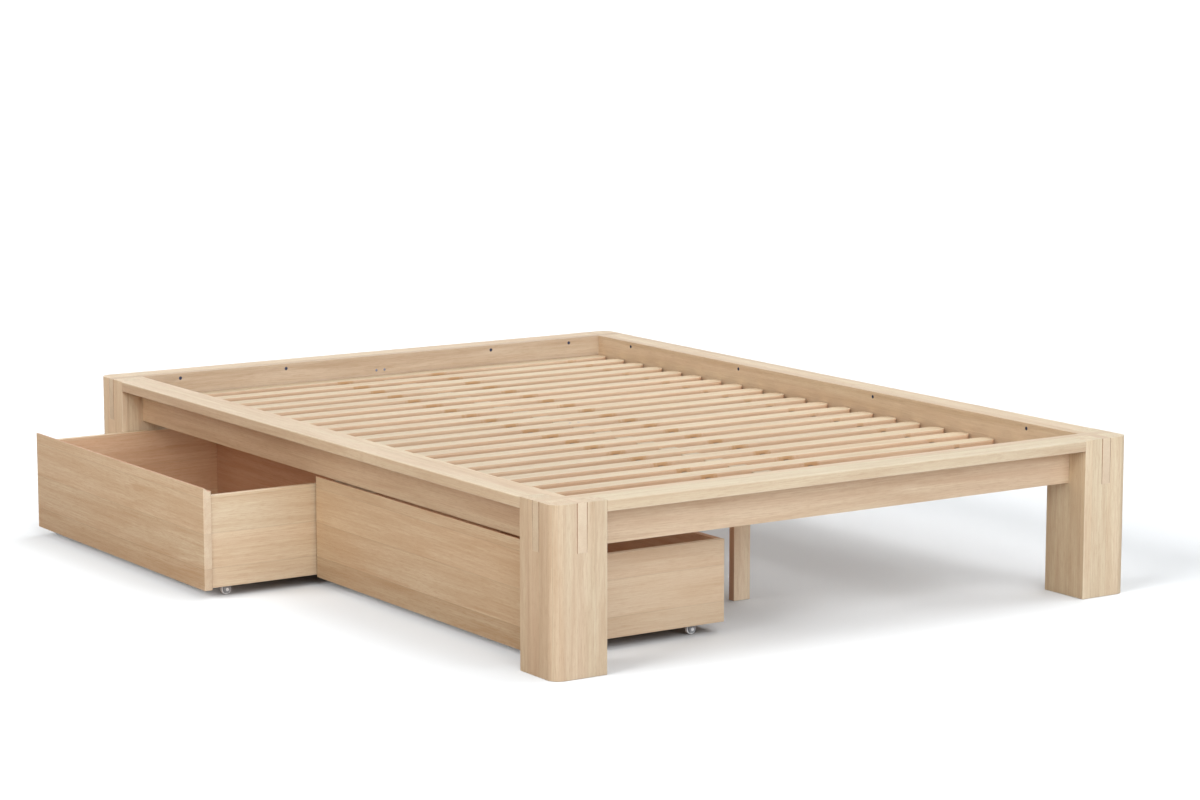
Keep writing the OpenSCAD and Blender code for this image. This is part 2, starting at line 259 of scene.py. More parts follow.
for lit, state in (("bed", "EXCLUDE"), ("floor", "INCLUDE")):
    receivers = bpy.data.collections.new("lit_by_%s_lamps" % lit)
    receivers.objects.link(floor)
    receivers.collection_objects[0].light_linking.link_state = state
    for softbox in lamps[lit]:
        softbox.light_linking.receiver_collection = receivers
print("floor:", FLOOR_SIZE, "m wide, lit by", len(lamps["floor"]), "lamps of its own")

# %% [markdown]
# ## Small tools for node groups
#
# A node group is a recipe that several materials share. Two helpers make an empty one with named
# sockets, and a noise that is stretched along the fibres, as nearly all figure in wood is. A
# third maps a value from one range to another.

# %% Small tools for node groups
GROUP_PUTS_OUT = [("Color", "NodeSocketColor"), ("Roughness", "NodeSocketFloat"),
                  ("Height", "NodeSocketFloat")]


def new_group(name, inputs, outputs):
    """An empty node group with named sockets, given as (name, kind, default)."""
    group = bpy.data.node_groups.new(name, "ShaderNodeTree")
    for title, kind, default in inputs:
        socket = group.interface.new_socket(title, in_out="INPUT", socket_type=kind)
        if default is not None:
            socket.default_value = default
    for title, kind in outputs:
        group.interface.new_socket(title, in_out="OUTPUT", socket_type=kind)
    start = add_node(group, "NodeGroupInput", (-1600, 0))
    end = add_node(group, "NodeGroupOutput", (1400, 0))
    return group, start, end


def stretched_noise(group, vector, scale, detail, roughness, at, distortion=0.0):
    """Noise on coordinates that are scaled by a different number along each axis."""
    squeeze = add_node(group, "ShaderNodeVectorMath", at, operation="MULTIPLY")
    squeeze.inputs[1].default_value = scale
    noise = add_node(group, "ShaderNodeTexNoise", (at[0] + 180, at[1]))
    set_inputs(noise, {"Scale": 1.0, "Detail": detail, "Roughness": roughness,
                       "Distortion": distortion})
    connect(group, (vector, squeeze.inputs[0]), (squeeze.outputs[0], noise.inputs["Vector"]))
    return noise.outputs["Fac"]


def ranged(group, value, low, high, to_low, to_high, at):
    """Maps a value from one range to another and keeps it inside."""
    node = add_node(group, "ShaderNodeMapRange", at)
    for index, number in enumerate((low, high, to_low, to_high)):
        node.inputs[index + 1].default_value = number
    group.links.new(value, node.inputs[0])
    return node.outputs[0]


print("a finish puts out:", ", ".join(title for title, kind in GROUP_PUTS_OUT))

# %% [markdown]
# ## Sums and mixtures
#
# The rest of the words that the recipes are written in: a mixed or scaled colour, a sum or
# product of numbers or vectors, and the three parts of a vector. Most of them take a socket or a
# plain number alike, so a recipe reads like a line of arithmetic.

# %% Sums and mixtures


def feed(group, socket, value):
    """Links a socket to the input, or writes a plain value into it."""
    if isinstance(value, bpy.types.NodeSocket):
        group.links.new(value, socket)
    else:
        socket.default_value = value


def mixed(group, factor, first, second, at, blend="MIX"):
    """Mixes two colours, given as sockets or as plain colours."""
    node = add_node(group, "ShaderNodeMix", at, data_type="RGBA", blend_type=blend)
    for index, value in ((0, factor), (6, first), (7, second)):
        feed(group, node.inputs[index], value)
    return node.outputs[2]


def computed(group, operation, first, second, at, third=0.0):
    """A Math node on two or three sockets or numbers."""
    node = add_node(group, "ShaderNodeMath", at, operation=operation)
    for socket, value in zip(node.inputs, (first, second, third)):
        feed(group, socket, value)
    return node.outputs[0]


def vectored(group, operation, first, second, at):
    """A Vector Math node on two sockets or plain vectors."""
    node = add_node(group, "ShaderNodeVectorMath", at, operation=operation)
    for socket, value in zip(node.inputs, (first, second)):
        feed(group, socket, value)
    return node.outputs[0]


def scaled(group, colour, factor, at):
    """A colour made brighter or darker by a factor."""
    node = add_node(group, "ShaderNodeVectorMath", at, operation="SCALE")
    connect(group, (colour, node.inputs[0]), (factor, node.inputs["Scale"]))
    return node.outputs[0]


def split(group, vector, at):
    """The X, Y and Z of a vector, as a list of sockets."""
    node = add_node(group, "ShaderNodeSeparateXYZ", at)
    group.links.new(vector, node.inputs[0])
    return list(node.outputs)


SUMS = (mixed, computed, vectored, scaled, split)
print("sums and mixtures:", ", ".join(tool.__name__ for tool in SUMS))

# %% [markdown]
# ## Staves
#
# Wide panels and thick legs aren't one plank. They are glued up from narrow staves, and each
# stave has its own tone and its own figure. The group divides the space across the fibres into
# staves and gives each one a random number. A zero in Staves leaves that direction whole.

# %% Staves
STAVE_START = (0.0, 0.37, 0.134)
PIECE_SALT = (91.0, 57.0, 33.0)
FIGURE_SHIFT = (9.0, 9.0, 9.0)
SEAM_FROM, SEAM_TO = 0.485, 0.498


def make_stave_group():
    """A random number and shift for the stave that a point lies in, and its seams."""
    group, start, end = new_group(
        "staves",
        [("Vector", "NodeSocketVector", None), ("Staves", "NodeSocketVector", (0, 0, 0)),
         ("Piece", "NodeSocketFloat", 0.5)],
        [("Number", "NodeSocketFloat"), ("Shift", "NodeSocketVector"),
         ("Seam", "NodeSocketFloat")])
    place = vectored(group, "MULTIPLY", start.outputs["Vector"], start.outputs["Staves"],
                     (-1300, 200))
    moved = vectored(group, "ADD", place, STAVE_START, (-1100, 100))
    whole = vectored(group, "FLOOR", moved, (0, 0, 0), (-900, 100))
    own = add_node(group, "ShaderNodeCombineXYZ", (-1300, -200))
    connect(group, *((start.outputs["Piece"], socket) for socket in own.inputs))
    salted = vectored(group, "MULTIPLY", own.outputs[0], PIECE_SALT, (-900, -200))
    seed = vectored(group, "ADD", whole, salted, (-700, 0))
    chance = add_node(group, "ShaderNodeTexWhiteNoise", (-500, 0), noise_dimensions="3D")
    group.links.new(seed, chance.inputs["Vector"])
    shift = vectored(group, "MULTIPLY", chance.outputs["Color"], FIGURE_SHIFT, (-300, -100))

    inside = split(group, vectored(group, "FRACTION", moved, (0, 0, 0), (-900, 400)), (-700, 400))
    seams = []
    for across, height in ((inside[1], 500), (inside[2], 300)):
        off = computed(group, "SUBTRACT", across, 0.5, (-500, height))
        off = computed(group, "ABSOLUTE", off, 0.0, (-340, height))
        seams.append(ranged(group, off, SEAM_FROM, SEAM_TO, 0.0, 1.0, (-180, height)))
    seam = computed(group, "MAXIMUM", seams[0], seams[1], (60, 400))
    connect(group, (chance.outputs["Value"], end.inputs["Number"]),
            (shift, end.inputs["Shift"]), (seam, end.inputs["Seam"]))
    return group


STAVES = make_stave_group()
print("staves group:", len(STAVES.nodes), "nodes")

# %% [markdown]
# ## Beech
#
# Beech is pale and straight, between straw and pink, with soft darker streaks and countless
# short flecks. Wood is a solid, so the figure is made in three dimensions and each face shows
# the cut that it really would: long streaks on the sides, fine dots on the ends. X of the vector
# runs along the fibres. Growth rings are a slow sawtooth of the distance from a pith line that
# lies outside the plank, so they show as faint arcs and long tongues.

# %% Beech
# Layer: its changes per metre along and across the fibres, detail, roughness and twist of its
# noise, the part of the noise that shows, and how strongly it shows
FIGURE_LAYERS = {
    "cloud": (1.3, 27.0, 2.0, 0.55, 0.0, 0.34, 0.66, 1.00),
    "drift": (3.2, 40.0, 3.0, 0.55, 0.6, 0.42, 0.70, 0.46),
    "streak": (3.0, 95.0, 4.0, 0.62, 0.3, 0.47, 0.74, 0.36),
    "line": (6.0, 330.0, 3.0, 0.60, 0.0, 0.46, 0.74, 0.32),
    "fleck": (40.0, 400.0, 2.5, 0.60, 0.0, 0.49, 0.70, 0.40),
    "pore": (260.0, 1900.0, 1.0, 0.50, 0.0, 0.55, 0.75, 0.22),
}
RING_STRETCH = (0.35, 1.0, 1.0)
RING_BENDS = 2.6
RING_BEND = 0.11
RINGS_PER_METRE = 240.0
LATE_WOOD = (0.55, 1.0, 0.0, 0.16)


def growth_rings(group, vector):
    """The dark late wood of each year, as a slow sawtooth of the distance from the pith line."""
    place = vectored(group, "MULTIPLY", vector, RING_STRETCH, (-940, -800))
    bent = add_node(group, "ShaderNodeTexNoise", (-760, -950))
    set_inputs(bent, {"Scale": RING_BENDS, "Detail": 1.0})
    group.links.new(place, bent.inputs["Vector"])
    parts = split(group, place, (-760, -800))
    across = computed(group, "MULTIPLY_ADD", bent.outputs["Fac"], RING_BEND, (-560, -950),
                      parts[1])
    flat = add_node(group, "ShaderNodeCombineXYZ", (-380, -850))
    reach = add_node(group, "ShaderNodeVectorMath", (-200, -850), operation="LENGTH")
    connect(group, (across, flat.inputs["Y"]), (parts[2], flat.inputs["Z"]),
            (flat.outputs[0], reach.inputs[0]))
    years = computed(group, "MULTIPLY", reach.outputs["Value"], RINGS_PER_METRE, (-20, -850))
    year = computed(group, "FRACT", years, 0.0, (140, -850))
    return ranged(group, year, *LATE_WOOD, (300, -850))


print("layers of the figure:", len(FIGURE_LAYERS), "and the growth rings")

# %% [markdown]
# ## The layers put together
#
# The group puts the layers on each other. The clouds and each stave's own number lean the ground
# colour to straw or to pink, and the other layers and the rings lay the streak colour over it.
# Each stave is a little brighter or darker than the next, and its seams are a fine dark line.

# %% The beech group
STAVE_LEAN = 0.45
CLOUD_LEAN = 0.55
STAVE_TONES = (0.955, 1.04)
SEAM_TONES = (1.0, 0.90)
SHEEN_OF_LINES = (0.3, 0.7, 0.46, 0.58)
DEPTH_OF_PORES = (0.35, 0.75, 1.0, 0.0)


def make_beech_group():
    """Colour, roughness and height of beech. X of the vector runs along the fibres, in metres."""
    group, start, end = new_group(
        "beech_figure",
        [("Vector", "NodeSocketVector", None), ("Piece", "NodeSocketFloat", 0.5),
         ("Staves", "NodeSocketVector", (0, 0, 0)),
         ("Straw", "NodeSocketColor", (0.8, 0.7, 0.5, 1)),
         ("Pink", "NodeSocketColor", (0.8, 0.6, 0.45, 1)),
         ("Streak", "NodeSocketColor", (0.5, 0.33, 0.2, 1)),
         ("Contrast", "NodeSocketFloat", 1.0), ("Hue", "NodeSocketFloat", 0.0),
         ("Tone", "NodeSocketFloat", 1.0)],
        GROUP_PUTS_OUT)
    staves = add_node(group, "ShaderNodeGroup", (-1400, 300), node_tree=STAVES)
    connect(group, *((start.outputs[name], staves.inputs[name])
                     for name in ("Vector", "Staves", "Piece")))
    vector = vectored(group, "ADD", start.outputs["Vector"], staves.outputs["Shift"], (-1180, 0))

    noises, masks = {}, {}
    for row, (name, layer) in enumerate(FIGURE_LAYERS.items()):
        along, across, detail, roughness, twist, low, high, strength = layer
        y = 700 - 250 * row
        noises[name] = stretched_noise(group, vector, (along, across, across), detail, roughness,
                                       (-940, y), twist)
        masks[name] = ranged(group, noises[name], low, high, 0.0, strength, (-500, y))
    masks["late"] = growth_rings(group, vector)

    stave_hue = computed(group, "MULTIPLY", staves.outputs["Number"], STAVE_LEAN, (-140, 860))
    cloud_hue = computed(group, "MULTIPLY", masks.pop("cloud"), CLOUD_LEAN, (-140, 700))
    hue = computed(group, "ADD", stave_hue, cloud_hue, (0, 780))
    hue = computed(group, "ADD", hue, start.outputs["Hue"], (120, 780))
    colour = mixed(group, hue, start.outputs["Straw"], start.outputs["Pink"], (240, 700))
    for column, mask in enumerate(masks.values()):
        x = 360 + 160 * column
        strength = computed(group, "MULTIPLY", mask, start.outputs["Contrast"], (x, 0))
        colour = mixed(group, strength, colour, start.outputs["Streak"], (x, 300))

    tone = ranged(group, staves.outputs["Number"], 0.0, 1.0, *STAVE_TONES, (600, 760))
    seam = ranged(group, staves.outputs["Seam"], 0.0, 1.0, *SEAM_TONES, (760, 760))
    bright = computed(group, "MULTIPLY", tone, seam, (920, 760))
    bright = computed(group, "MULTIPLY", bright, start.outputs["Tone"], (1080, 760))
    sheen = ranged(group, noises["line"], *SHEEN_OF_LINES, (760, -300))
    depth = ranged(group, noises["pore"], *DEPTH_OF_PORES, (760, -500))
    connect(group, (scaled(group, colour, bright, (1240, 500)), end.inputs["Color"]),
            (sheen, end.inputs["Roughness"]), (depth, end.inputs["Height"]))
    return group


BEECH = make_beech_group()
print("beech group:", len(BEECH.nodes), "nodes")

# %% [markdown]
# ## Painted highlights, painted shade and joint lines
#
# Rims and the ends of a drawer front are painted lighter than the face beside them, as a painted
# highlight. Where two pieces meet, the fine groove between them collects shadow and oil and
# looks brown. The insides of a drawer and a few other faces in shade get painted shade, a deeper
# red brown. Every piece stores a number for each face, which says what the face is: 1 is a rim
# or the end of a drawer front, with a painted highlight, 0.75 the planed end of a board, 0.5 a
# groove, and also the lower edge of the left board as painted shade, 0.35 the end grain of a
# slat, and painted shade on the side of a middle leg and on what shows inside a drawer but its
# sides, 0.25 painted shade on the inside of those sides, 0.15 painted shade on the narrow side
# of a slat and 0 any other face.

# %% Painted highlights, painted shade and joint lines
RIM_VALUE = 1.0
END_VALUE = 0.75
GROOVE_AND_SHADE_VALUE = 0.5
END_GRAIN_AND_SHADE_VALUE = 0.35
INSIDE_VALUE = 0.25
SIDE_VALUE = 0.15
SAME_VALUE = 0.04
# The rim colour is a painted highlight, on rims and on the ends of the drawer fronts.
RIM_HIGHLIGHT_PAINT = (0.93, 0.84, 0.70, 1)
# The groove colour is a dark joint line, and painted shade on the left board's lower edge.
GROOVE_AND_SHADE_PAINT = (0.32, 0.14, 0.07, 1)
END_PAINT = (0.90, 0.82, 0.66, 1)
END_SHARE = 0.4
# These tints paint shade: on a slat's narrow sides, on the insides of a drawer and on a middle
# leg's drawer side. The darkest one also browns a slat's end grain.
FACE_TINTS = (
    (SIDE_VALUE, (0.94, 0.80, 0.755, 1)),
    (INSIDE_VALUE, (0.93, 0.80, 0.74, 1)),
    (END_GRAIN_AND_SHADE_VALUE, (0.80, 0.62, 0.58, 1)),
)


def where(tree, edge, value, at):
    """One where the face's number is that value, and zero elsewhere."""
    return computed(tree, "COMPARE", edge, value, at, SAME_VALUE)


def make_edge_group():
    """Paints highlight on rims, darkens joint grooves, paints shade on the other marked faces."""
    group, start, end = new_group(
        "edge_tone",
        [("Color", "NodeSocketColor", (0.8, 0.7, 0.5, 1)), ("Edge", "NodeSocketFloat", 0.0),
         ("Rim", "NodeSocketFloat", 0.3), ("Groove", "NodeSocketFloat", 0.9)],
        [("Color", "NodeSocketColor")])
    colour, edge = start.outputs["Color"], start.outputs["Edge"]
    for row, (value, tint) in enumerate(FACE_TINTS):
        y = -800 + 200 * row
        colour = mixed(group, where(group, edge, value, (-900, y)), colour, tint,
                       (-600 + 100 * row, y), "MULTIPLY")
    planed = computed(group, "MULTIPLY", where(group, edge, END_VALUE, (-900, -200)), END_SHARE,
                      (-600, -200))
    colour = mixed(group, planed, colour, END_PAINT, (-300, -200))
    for value, strength, paint, y in ((RIM_VALUE, "Rim", RIM_HIGHLIGHT_PAINT, 0),
                                      (GROOVE_AND_SHADE_VALUE, "Groove", GROOVE_AND_SHADE_PAINT, 200)):
        share = computed(group, "MULTIPLY", where(group, edge, value, (-900, y)),
                         start.outputs[strength], (-600, y))
        colour = mixed(group, share, colour, paint, (-100 + y, y))
    group.links.new(colour, end.inputs["Color"])
    return group


EDGE_TONE = make_edge_group()
print("edge group:", len(EDGE_TONE.nodes), "nodes")

# %% [markdown]
# ## Wood materials
#
# The same recipe serves all the wood. A Mapping node turns the coordinates so that the fibres
# run along the piece: up the legs, along the rails and across the bed in the slats. Panels and
# legs get staves. The slats are a touch paler, because they are only planed. What differs from
# piece to piece, such as its tone, comes from numbers that are stored in its mesh. Each drawer
# front is glued up from three boards, and the lowest one is a little darker.

# %% Tools for materials
LOWEST_BOARD_TOP = 0.071
LOWEST_BOARD_TINT = (0.90, 0.875, 0.85, 1)
BOARD_LINE = 0.001


def new_material(name):
    """A material, its node tree, its shader and a socket with its object coordinates."""
    material = bpy.data.materials.new(name)
    material.use_nodes = True
    tree = material.node_tree
    coordinates = add_node(tree, "ShaderNodeTexCoord", (-1000, 0))
    return material, tree, tree.nodes["Principled BSDF"], coordinates.outputs["Object"]


def finish_shader(tree, shader, colour, figure, bump_strength, bump_depth):
    """Feeds the shader that colour, and the roughness and height that the group puts out."""
    bump = add_node(tree, "ShaderNodeBump", (-260, -260))
    set_inputs(bump, {"Strength": bump_strength, "Distance": bump_depth})
    connect(tree, (colour, shader.inputs["Base Color"]),
            (figure.outputs["Roughness"], shader.inputs["Roughness"]),
            (figure.outputs["Height"], bump.inputs["Height"]),
            (bump.outputs["Normal"], shader.inputs["Normal"]))


def darker_below(tree, colour, place, height):
    """The colour, with the board below that height a little darker."""
    up = split(tree, place, (-820, 300))[2]
    low = ranged(tree, up, height, height + BOARD_LINE, 1.0, 0.0, (-560, 300))
    return mixed(tree, low, colour, LOWEST_BOARD_TINT, (-120, 300), "MULTIPLY")


print("the lowest board of a drawer front ends at", round(1000 * LOWEST_BOARD_TOP), "mm")

# %% [markdown]
# ## Painted shade beside the bands
#
# Where the bands pass through the slats, the slats' narrow sides are painted brown as painted
# shade around the bands. The shade fades away from each band, with a ragged outline from a
# noise. A mask paints it on the narrow sides.

# %% Painted shade beside the bands
# Distance of the shade's middle from the slats' left ends, its reach, and its strength
# Painted shade around the bands, on the slats' narrow sides.
BAND_SHADE_SPOTS = ((0.126, 0.016, 0.45), (0.559, 0.030, 0.80), (0.847, 0.030, 0.80),
               (1.280, 0.016, 0.45))
BAND_SHADE_PAINT = (0.54, 0.30, 0.14, 1)
BAND_SHADE_CORE = 0.4
BAND_SHADE_NOISE = (160.0, 9.0, 60.0)
BAND_SHADE_RAGS = (0.35, 0.65, -0.008, 0.008)
slats_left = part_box("slat_01")[0].x


def painted_band_shade(tree, colour, place, edge):
    """The colour, with brown painted shade on a slat's narrow sides where the bands pass."""
    side = where(tree, edge, SIDE_VALUE, (-300, -700))
    along = split(tree, place, (-900, -900))[0]
    ragged = stretched_noise(tree, place, BAND_SHADE_NOISE, 2.0, 0.6, (-1200, -1100))
    ragged = ranged(tree, ragged, *BAND_SHADE_RAGS, (-800, -1100))
    for number, (middle, reach, strength) in enumerate(BAND_SHADE_SPOTS):
        x = 120 * number
        off = computed(tree, "SUBTRACT", along, slats_left + middle, (x, -900))
        off = computed(tree, "ABSOLUTE", off, 0.0, (x + 30, -900))
        off = computed(tree, "ADD", off, ragged, (x + 60, -900))
        near = ranged(tree, off, reach * BAND_SHADE_CORE, reach, strength, 0.0, (x + 90, -900))
        near = computed(tree, "MULTIPLY", near, side, (x + 120, -900))
        colour = mixed(tree, near, colour, BAND_SHADE_PAINT, (x + 150, -700))
    return colour


print("stains on each slat:", len(BAND_SHADE_SPOTS))

# %% [markdown]
# ## One recipe for all the wood
#
# This puts the parts together: the coordinates are turned, the beech group paints the figure, the
# edge group tints the marked faces, and the result goes to the shader with a very fine bump.

# %% Make a wood
STRAW = (0.815, 0.722, 0.545, 1)
PINK = (0.783, 0.612, 0.460, 1)
STREAK = (0.560, 0.385, 0.245, 1)
FIBRES = {
    "x": (0, 0, 0),
    "y": (0, 0, math.radians(-90)),
    "z": (0, math.radians(90), 0),
}
NO_STAVES = (0, 0, 0)
WOOD_SHINE = 0.18
WOOD_BUMP = (0.15, 0.0003)


def make_wood(name, fibres, straw=STRAW, pink=PINK, streak=STREAK, staves=NO_STAVES,
              contrast=1.0, low_board=0.0, band_shade=False):
    """Beech whose fibres run along that axis."""
    material, tree, shader, place = new_material(name)
    turn = add_node(tree, "ShaderNodeMapping", (-820, 0))
    figure = add_node(tree, "ShaderNodeGroup", (-560, 0), node_tree=BEECH)
    edges = add_node(tree, "ShaderNodeGroup", (-300, 100), node_tree=EDGE_TONE)
    set_inputs(turn, {"Rotation": FIBRES[fibres]})
    set_inputs(figure, {"Straw": straw, "Pink": pink, "Streak": streak, "Staves": staves,
                        "Contrast": contrast})
    stored = {}
    for row, title in enumerate(("piece", "hue", "tone", "edge")):
        node = add_node(tree, "ShaderNodeAttribute", (-820, -380 - 160 * row),
                        attribute_name=title)
        stored[title] = node.outputs["Fac"]
    connect(tree, (place, turn.inputs["Vector"]),
            (turn.outputs["Vector"], figure.inputs["Vector"]),
            (stored["piece"], figure.inputs["Piece"]),
            (stored["hue"], figure.inputs["Hue"]),
            (stored["tone"], figure.inputs["Tone"]),
            (figure.outputs["Color"], edges.inputs["Color"]),
            (stored["edge"], edges.inputs["Edge"]))
    colour = edges.outputs["Color"]
    if low_board:
        colour = darker_below(tree, colour, place, low_board)
    if band_shade:
        colour = painted_band_shade(tree, colour, place, stored["edge"])
    finish_shader(tree, shader, colour, figure, *WOOD_BUMP)
    set_inputs(shader, {"Specular IOR Level": WOOD_SHINE})
    return material


print("fibres can run along", ", ".join(FIBRES))

# %% [markdown]
# ## The woods of the bed
#
# Seven materials come from the one recipe. They differ in the way the fibres run, in the ground
# colours, in the width of the staves, and in the painted shade beside the bands and the darker
# board.

# %% The woods of the bed
SLAT_STRAW = (0.815, 0.715, 0.530, 1)
SLAT_PINK = (0.790, 0.650, 0.475, 1)
LEG_STAVES = (0, 1 / 0.044, 1 / 0.044)
PANEL = {"straw": (0.820, 0.712, 0.535, 1), "pink": (0.775, 0.618, 0.452, 1),
         "streak": (0.590, 0.385, 0.225, 1), "staves": (0, 0, 1 / 0.082)}

LEG_WOOD = make_wood("leg_beech", "z", staves=LEG_STAVES)
LONG_RAIL_WOOD = make_wood("long_rail_beech", "y")
END_RAIL_WOOD = make_wood("end_rail_beech", "x")
SLAT_WOOD = make_wood("slat_beech", "x", SLAT_STRAW, SLAT_PINK, contrast=0.9, band_shade=True)
FRONT_WOOD = make_wood("drawer_front_beech", "y", contrast=1.35, low_board=LOWEST_BOARD_TOP,
                       **PANEL)
BOX_END_WOOD = make_wood("box_side_beech", "x", **PANEL)
BOX_LONG_WOOD = make_wood("box_back_beech", "y", **PANEL)
print("woods:", len([m for m in bpy.data.materials if m.name.endswith("_beech")]))

# %% [markdown]
# ## From a sharp solid to a sanded board
#
# The construction has the joints and outlines right, but its edges are razor sharp. A joiner
# breaks every edge with a plane and sandpaper. A copy of each piece gets its doubled corners
# merged and its flat faces made whole again, because the construction's mesh is loose triangles.
# Then the bevel operator cuts the edges that a rule picks by their place.

# %% Copy a piece and bevel its edges
SHARP = math.radians(32)
SAME_CORNER = 0.00002
FLAT = math.radians(0.5)


def select_only(piece):
    """Makes this the one selected and active object."""
    bpy.ops.object.select_all(action="DESELECT")
    piece.select_set(True)
    bpy.context.view_layer.objects.active = piece


def merged_copy(node):
    """A copy of a construction piece with whole faces and no doubled corners."""
    piece = bpy.data.objects.new("wood_" + node, NODES[node].data.copy())
    bpy.context.scene.collection.objects.link(piece)
    select_only(piece)
    bpy.ops.object.mode_set(mode="EDIT")
    bpy.ops.mesh.select_all(action="SELECT")
    bpy.ops.mesh.remove_doubles(threshold=SAME_CORNER)
    bpy.ops.mesh.dissolve_limited(angle_limit=FLAT)
    bpy.ops.object.mode_set(mode="OBJECT")
    return piece


def bevel_edges(piece, chosen, width, segments, clamp=True):
    """Bevels the sharp edges that chosen(start, end) picks, in edit mode."""
    select_only(piece)
    bpy.ops.object.mode_set(mode="EDIT")
    bpy.ops.mesh.select_mode(type="EDGE")
    bpy.ops.mesh.select_all(action="DESELECT")
    bpy.ops.mesh.edges_select_sharp(sharpness=SHARP)
    bpy.ops.object.mode_set(mode="OBJECT")
    mesh = piece.data
    picked = []
    for edge in mesh.edges:
        start, end = (mesh.vertices[i].co for i in edge.vertices)
        if edge.select and chosen(start, end):
            picked.append(edge)
    for parts in (mesh.polygons, mesh.vertices, mesh.edges):
        parts.foreach_set("select", [False] * len(parts))
    for edge in picked:
        edge.select = True
        for i in edge.vertices:
            mesh.vertices[i].select = True
    if picked:
        bpy.ops.object.mode_set(mode="EDIT")
        bpy.ops.mesh.bevel(offset=width, segments=segments, affect="EDGES",
                           clamp_overlap=clamp)
        bpy.ops.object.mode_set(mode="OBJECT")


print("an edge is sharp from", round(math.degrees(SHARP)), "degrees on")

# %% [markdown]
# ## What each board and each face is
#
# No two boards of a tree are alike, so every piece stores a random number for its figure. Its
# brightness and how far it leans to straw or to pink are given for some pieces. The darker
# tones of the ledgers and the beam are painted shade, and the brighter tone of the short middle
# legs is painted light. A face that is as narrow as a bevel is a rim, or a groove where it lies
# in a joint, and the piece's own rule marks its other faces.
# Numbers in the mesh reach the material without any picture, and they stay with the piece when
# it moves.

# %% Mark and finish a piece
NARROW = 0.0024
FACING = 0.9
# The ledgers' and the beam's tones below 1 are painted shade, the middle legs' 1.18 painted light.
TONE_SHADE_AND_LIGHT_OF = {"board_head": 0.84, "board_right": 0.93, "leg_foot_right": 1.03,
           "middle_legs": 1.18, "ledgers": 0.65, "beam": 0.75, "near_side_foot": 0.98}
HUE_OF = {"strip_foot": -0.55, "leg_foot_right": -0.50, "strip_right": -0.15,
          "board_head": 0.50, "board_right": 0.20, "near_side_foot": 0.15}
numbers = random.Random(7)


def mark_piece(piece, node, groove, inside):
    """Stores the piece's number, tone and hue, and what each of its faces is."""
    mesh = piece.data
    for title, value in (("piece", numbers.random()), ("tone", TONE_SHADE_AND_LIGHT_OF.get(node, 1.0)),
                         ("hue", HUE_OF.get(node, 0.0))):
        layer = mesh.attributes.new(title, "FLOAT", "POINT")
        layer.data.foreach_set("value", [value] * len(mesh.vertices))
    values = []
    for face in mesh.polygons:
        corners = [mesh.vertices[i].co for i in face.vertices]
        around = sum((a - b).length for a, b in zip(corners, corners[1:] + corners[:1]))
        value = inside(face)
        if not value and 2 * face.area / around < NARROW:
            value = GROOVE_AND_SHADE_VALUE if groove(face.center) else RIM_VALUE
        values.append(value)
    layer = mesh.attributes.new("edge", "FLOAT", "FACE")
    layer.data.foreach_set("value", values)


def finish_piece(piece, material, body, nodes=()):
    """Gives a piece its material, its shading, its body and the nodes it stands for."""
    piece.data.materials.clear()
    piece.data.materials.append(material)
    select_only(piece)
    bpy.ops.object.shade_smooth_by_angle(angle=SHARP)
    if nodes:
        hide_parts(*nodes)
    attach(piece, body)


print("boards with a tone or a hue of their own:", len(set(TONE_SHADE_AND_LIGHT_OF) | set(HUE_OF)))

# %% [markdown]
# ## Where the bed's planes are
#
# To tell a rim from a joint, the script needs the bed's main planes. They are measured from the
# loaded pieces, so nothing is typed in twice. On the top of the bed the joints between legs,
# boards and strips are sanded flush, so there no bevel is cut.

# %% Measure the planes
TOUCH = 0.0001
ON_PLANE = 0.0002
ARC_CHORD = 0.012
leg_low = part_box("leg_foot_left")[0]
far_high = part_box("leg_head_right")[1]
board_low, board_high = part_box("board_left")
end_low, end_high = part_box("board_foot")
right_low, right_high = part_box("board_right")
head_low, head_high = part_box("board_head")
OUTER_RIM = ((0, leg_low.x), (1, leg_low.y), (0, far_high.x), (1, far_high.y))
INNER_RIM = ((0, board_high.x), (1, end_high.y), (0, right_low.x), (1, head_low.y))
BOARD_LOW = board_low.z
TOP = cad_high.z


def flush_joint(start, end):
    """An edge in the bed's top surface that isn't on its outer or inner rim."""
    if min(start.z, end.z) < TOP - TOUCH:
        return False
    for axis, value in OUTER_RIM + INNER_RIM:
        if abs(start[axis] - value) < ON_PLANE and abs(end[axis] - value) < ON_PLANE:
            return False
    corner_arc = TOUCH < (start - end).length < ARC_CHORD
    return not corner_arc


print("outer rim:", [round(value, 3) for axis, value in OUTER_RIM])
print("inner rim:", [round(value, 3) for axis, value in INNER_RIM])

# %% [markdown]
# ## Sanding
#
# A piece is sanded in two rounds. The edges inside joints get one flat cut, about a millimetre
# wide, which the edge group paints brown. It isn't clamped, so that a tiny edge near it can't
# make it thinner. The open rims then get a round bevel in three steps. A piece may bring its own
# rules: where its joints lie, what its faces are, and how its form changes first.

# %% Sand a piece
JOINT_EASE = 0.0011
JOINT_STEPS = 1
RIM_STEPS = 3


def plain(face):
    """For a piece whose faces are all alike."""
    return 0.0


def nowhere(place):
    """For a piece without joints."""
    return False


def as_built(piece):
    """For a piece that keeps the construction's form."""


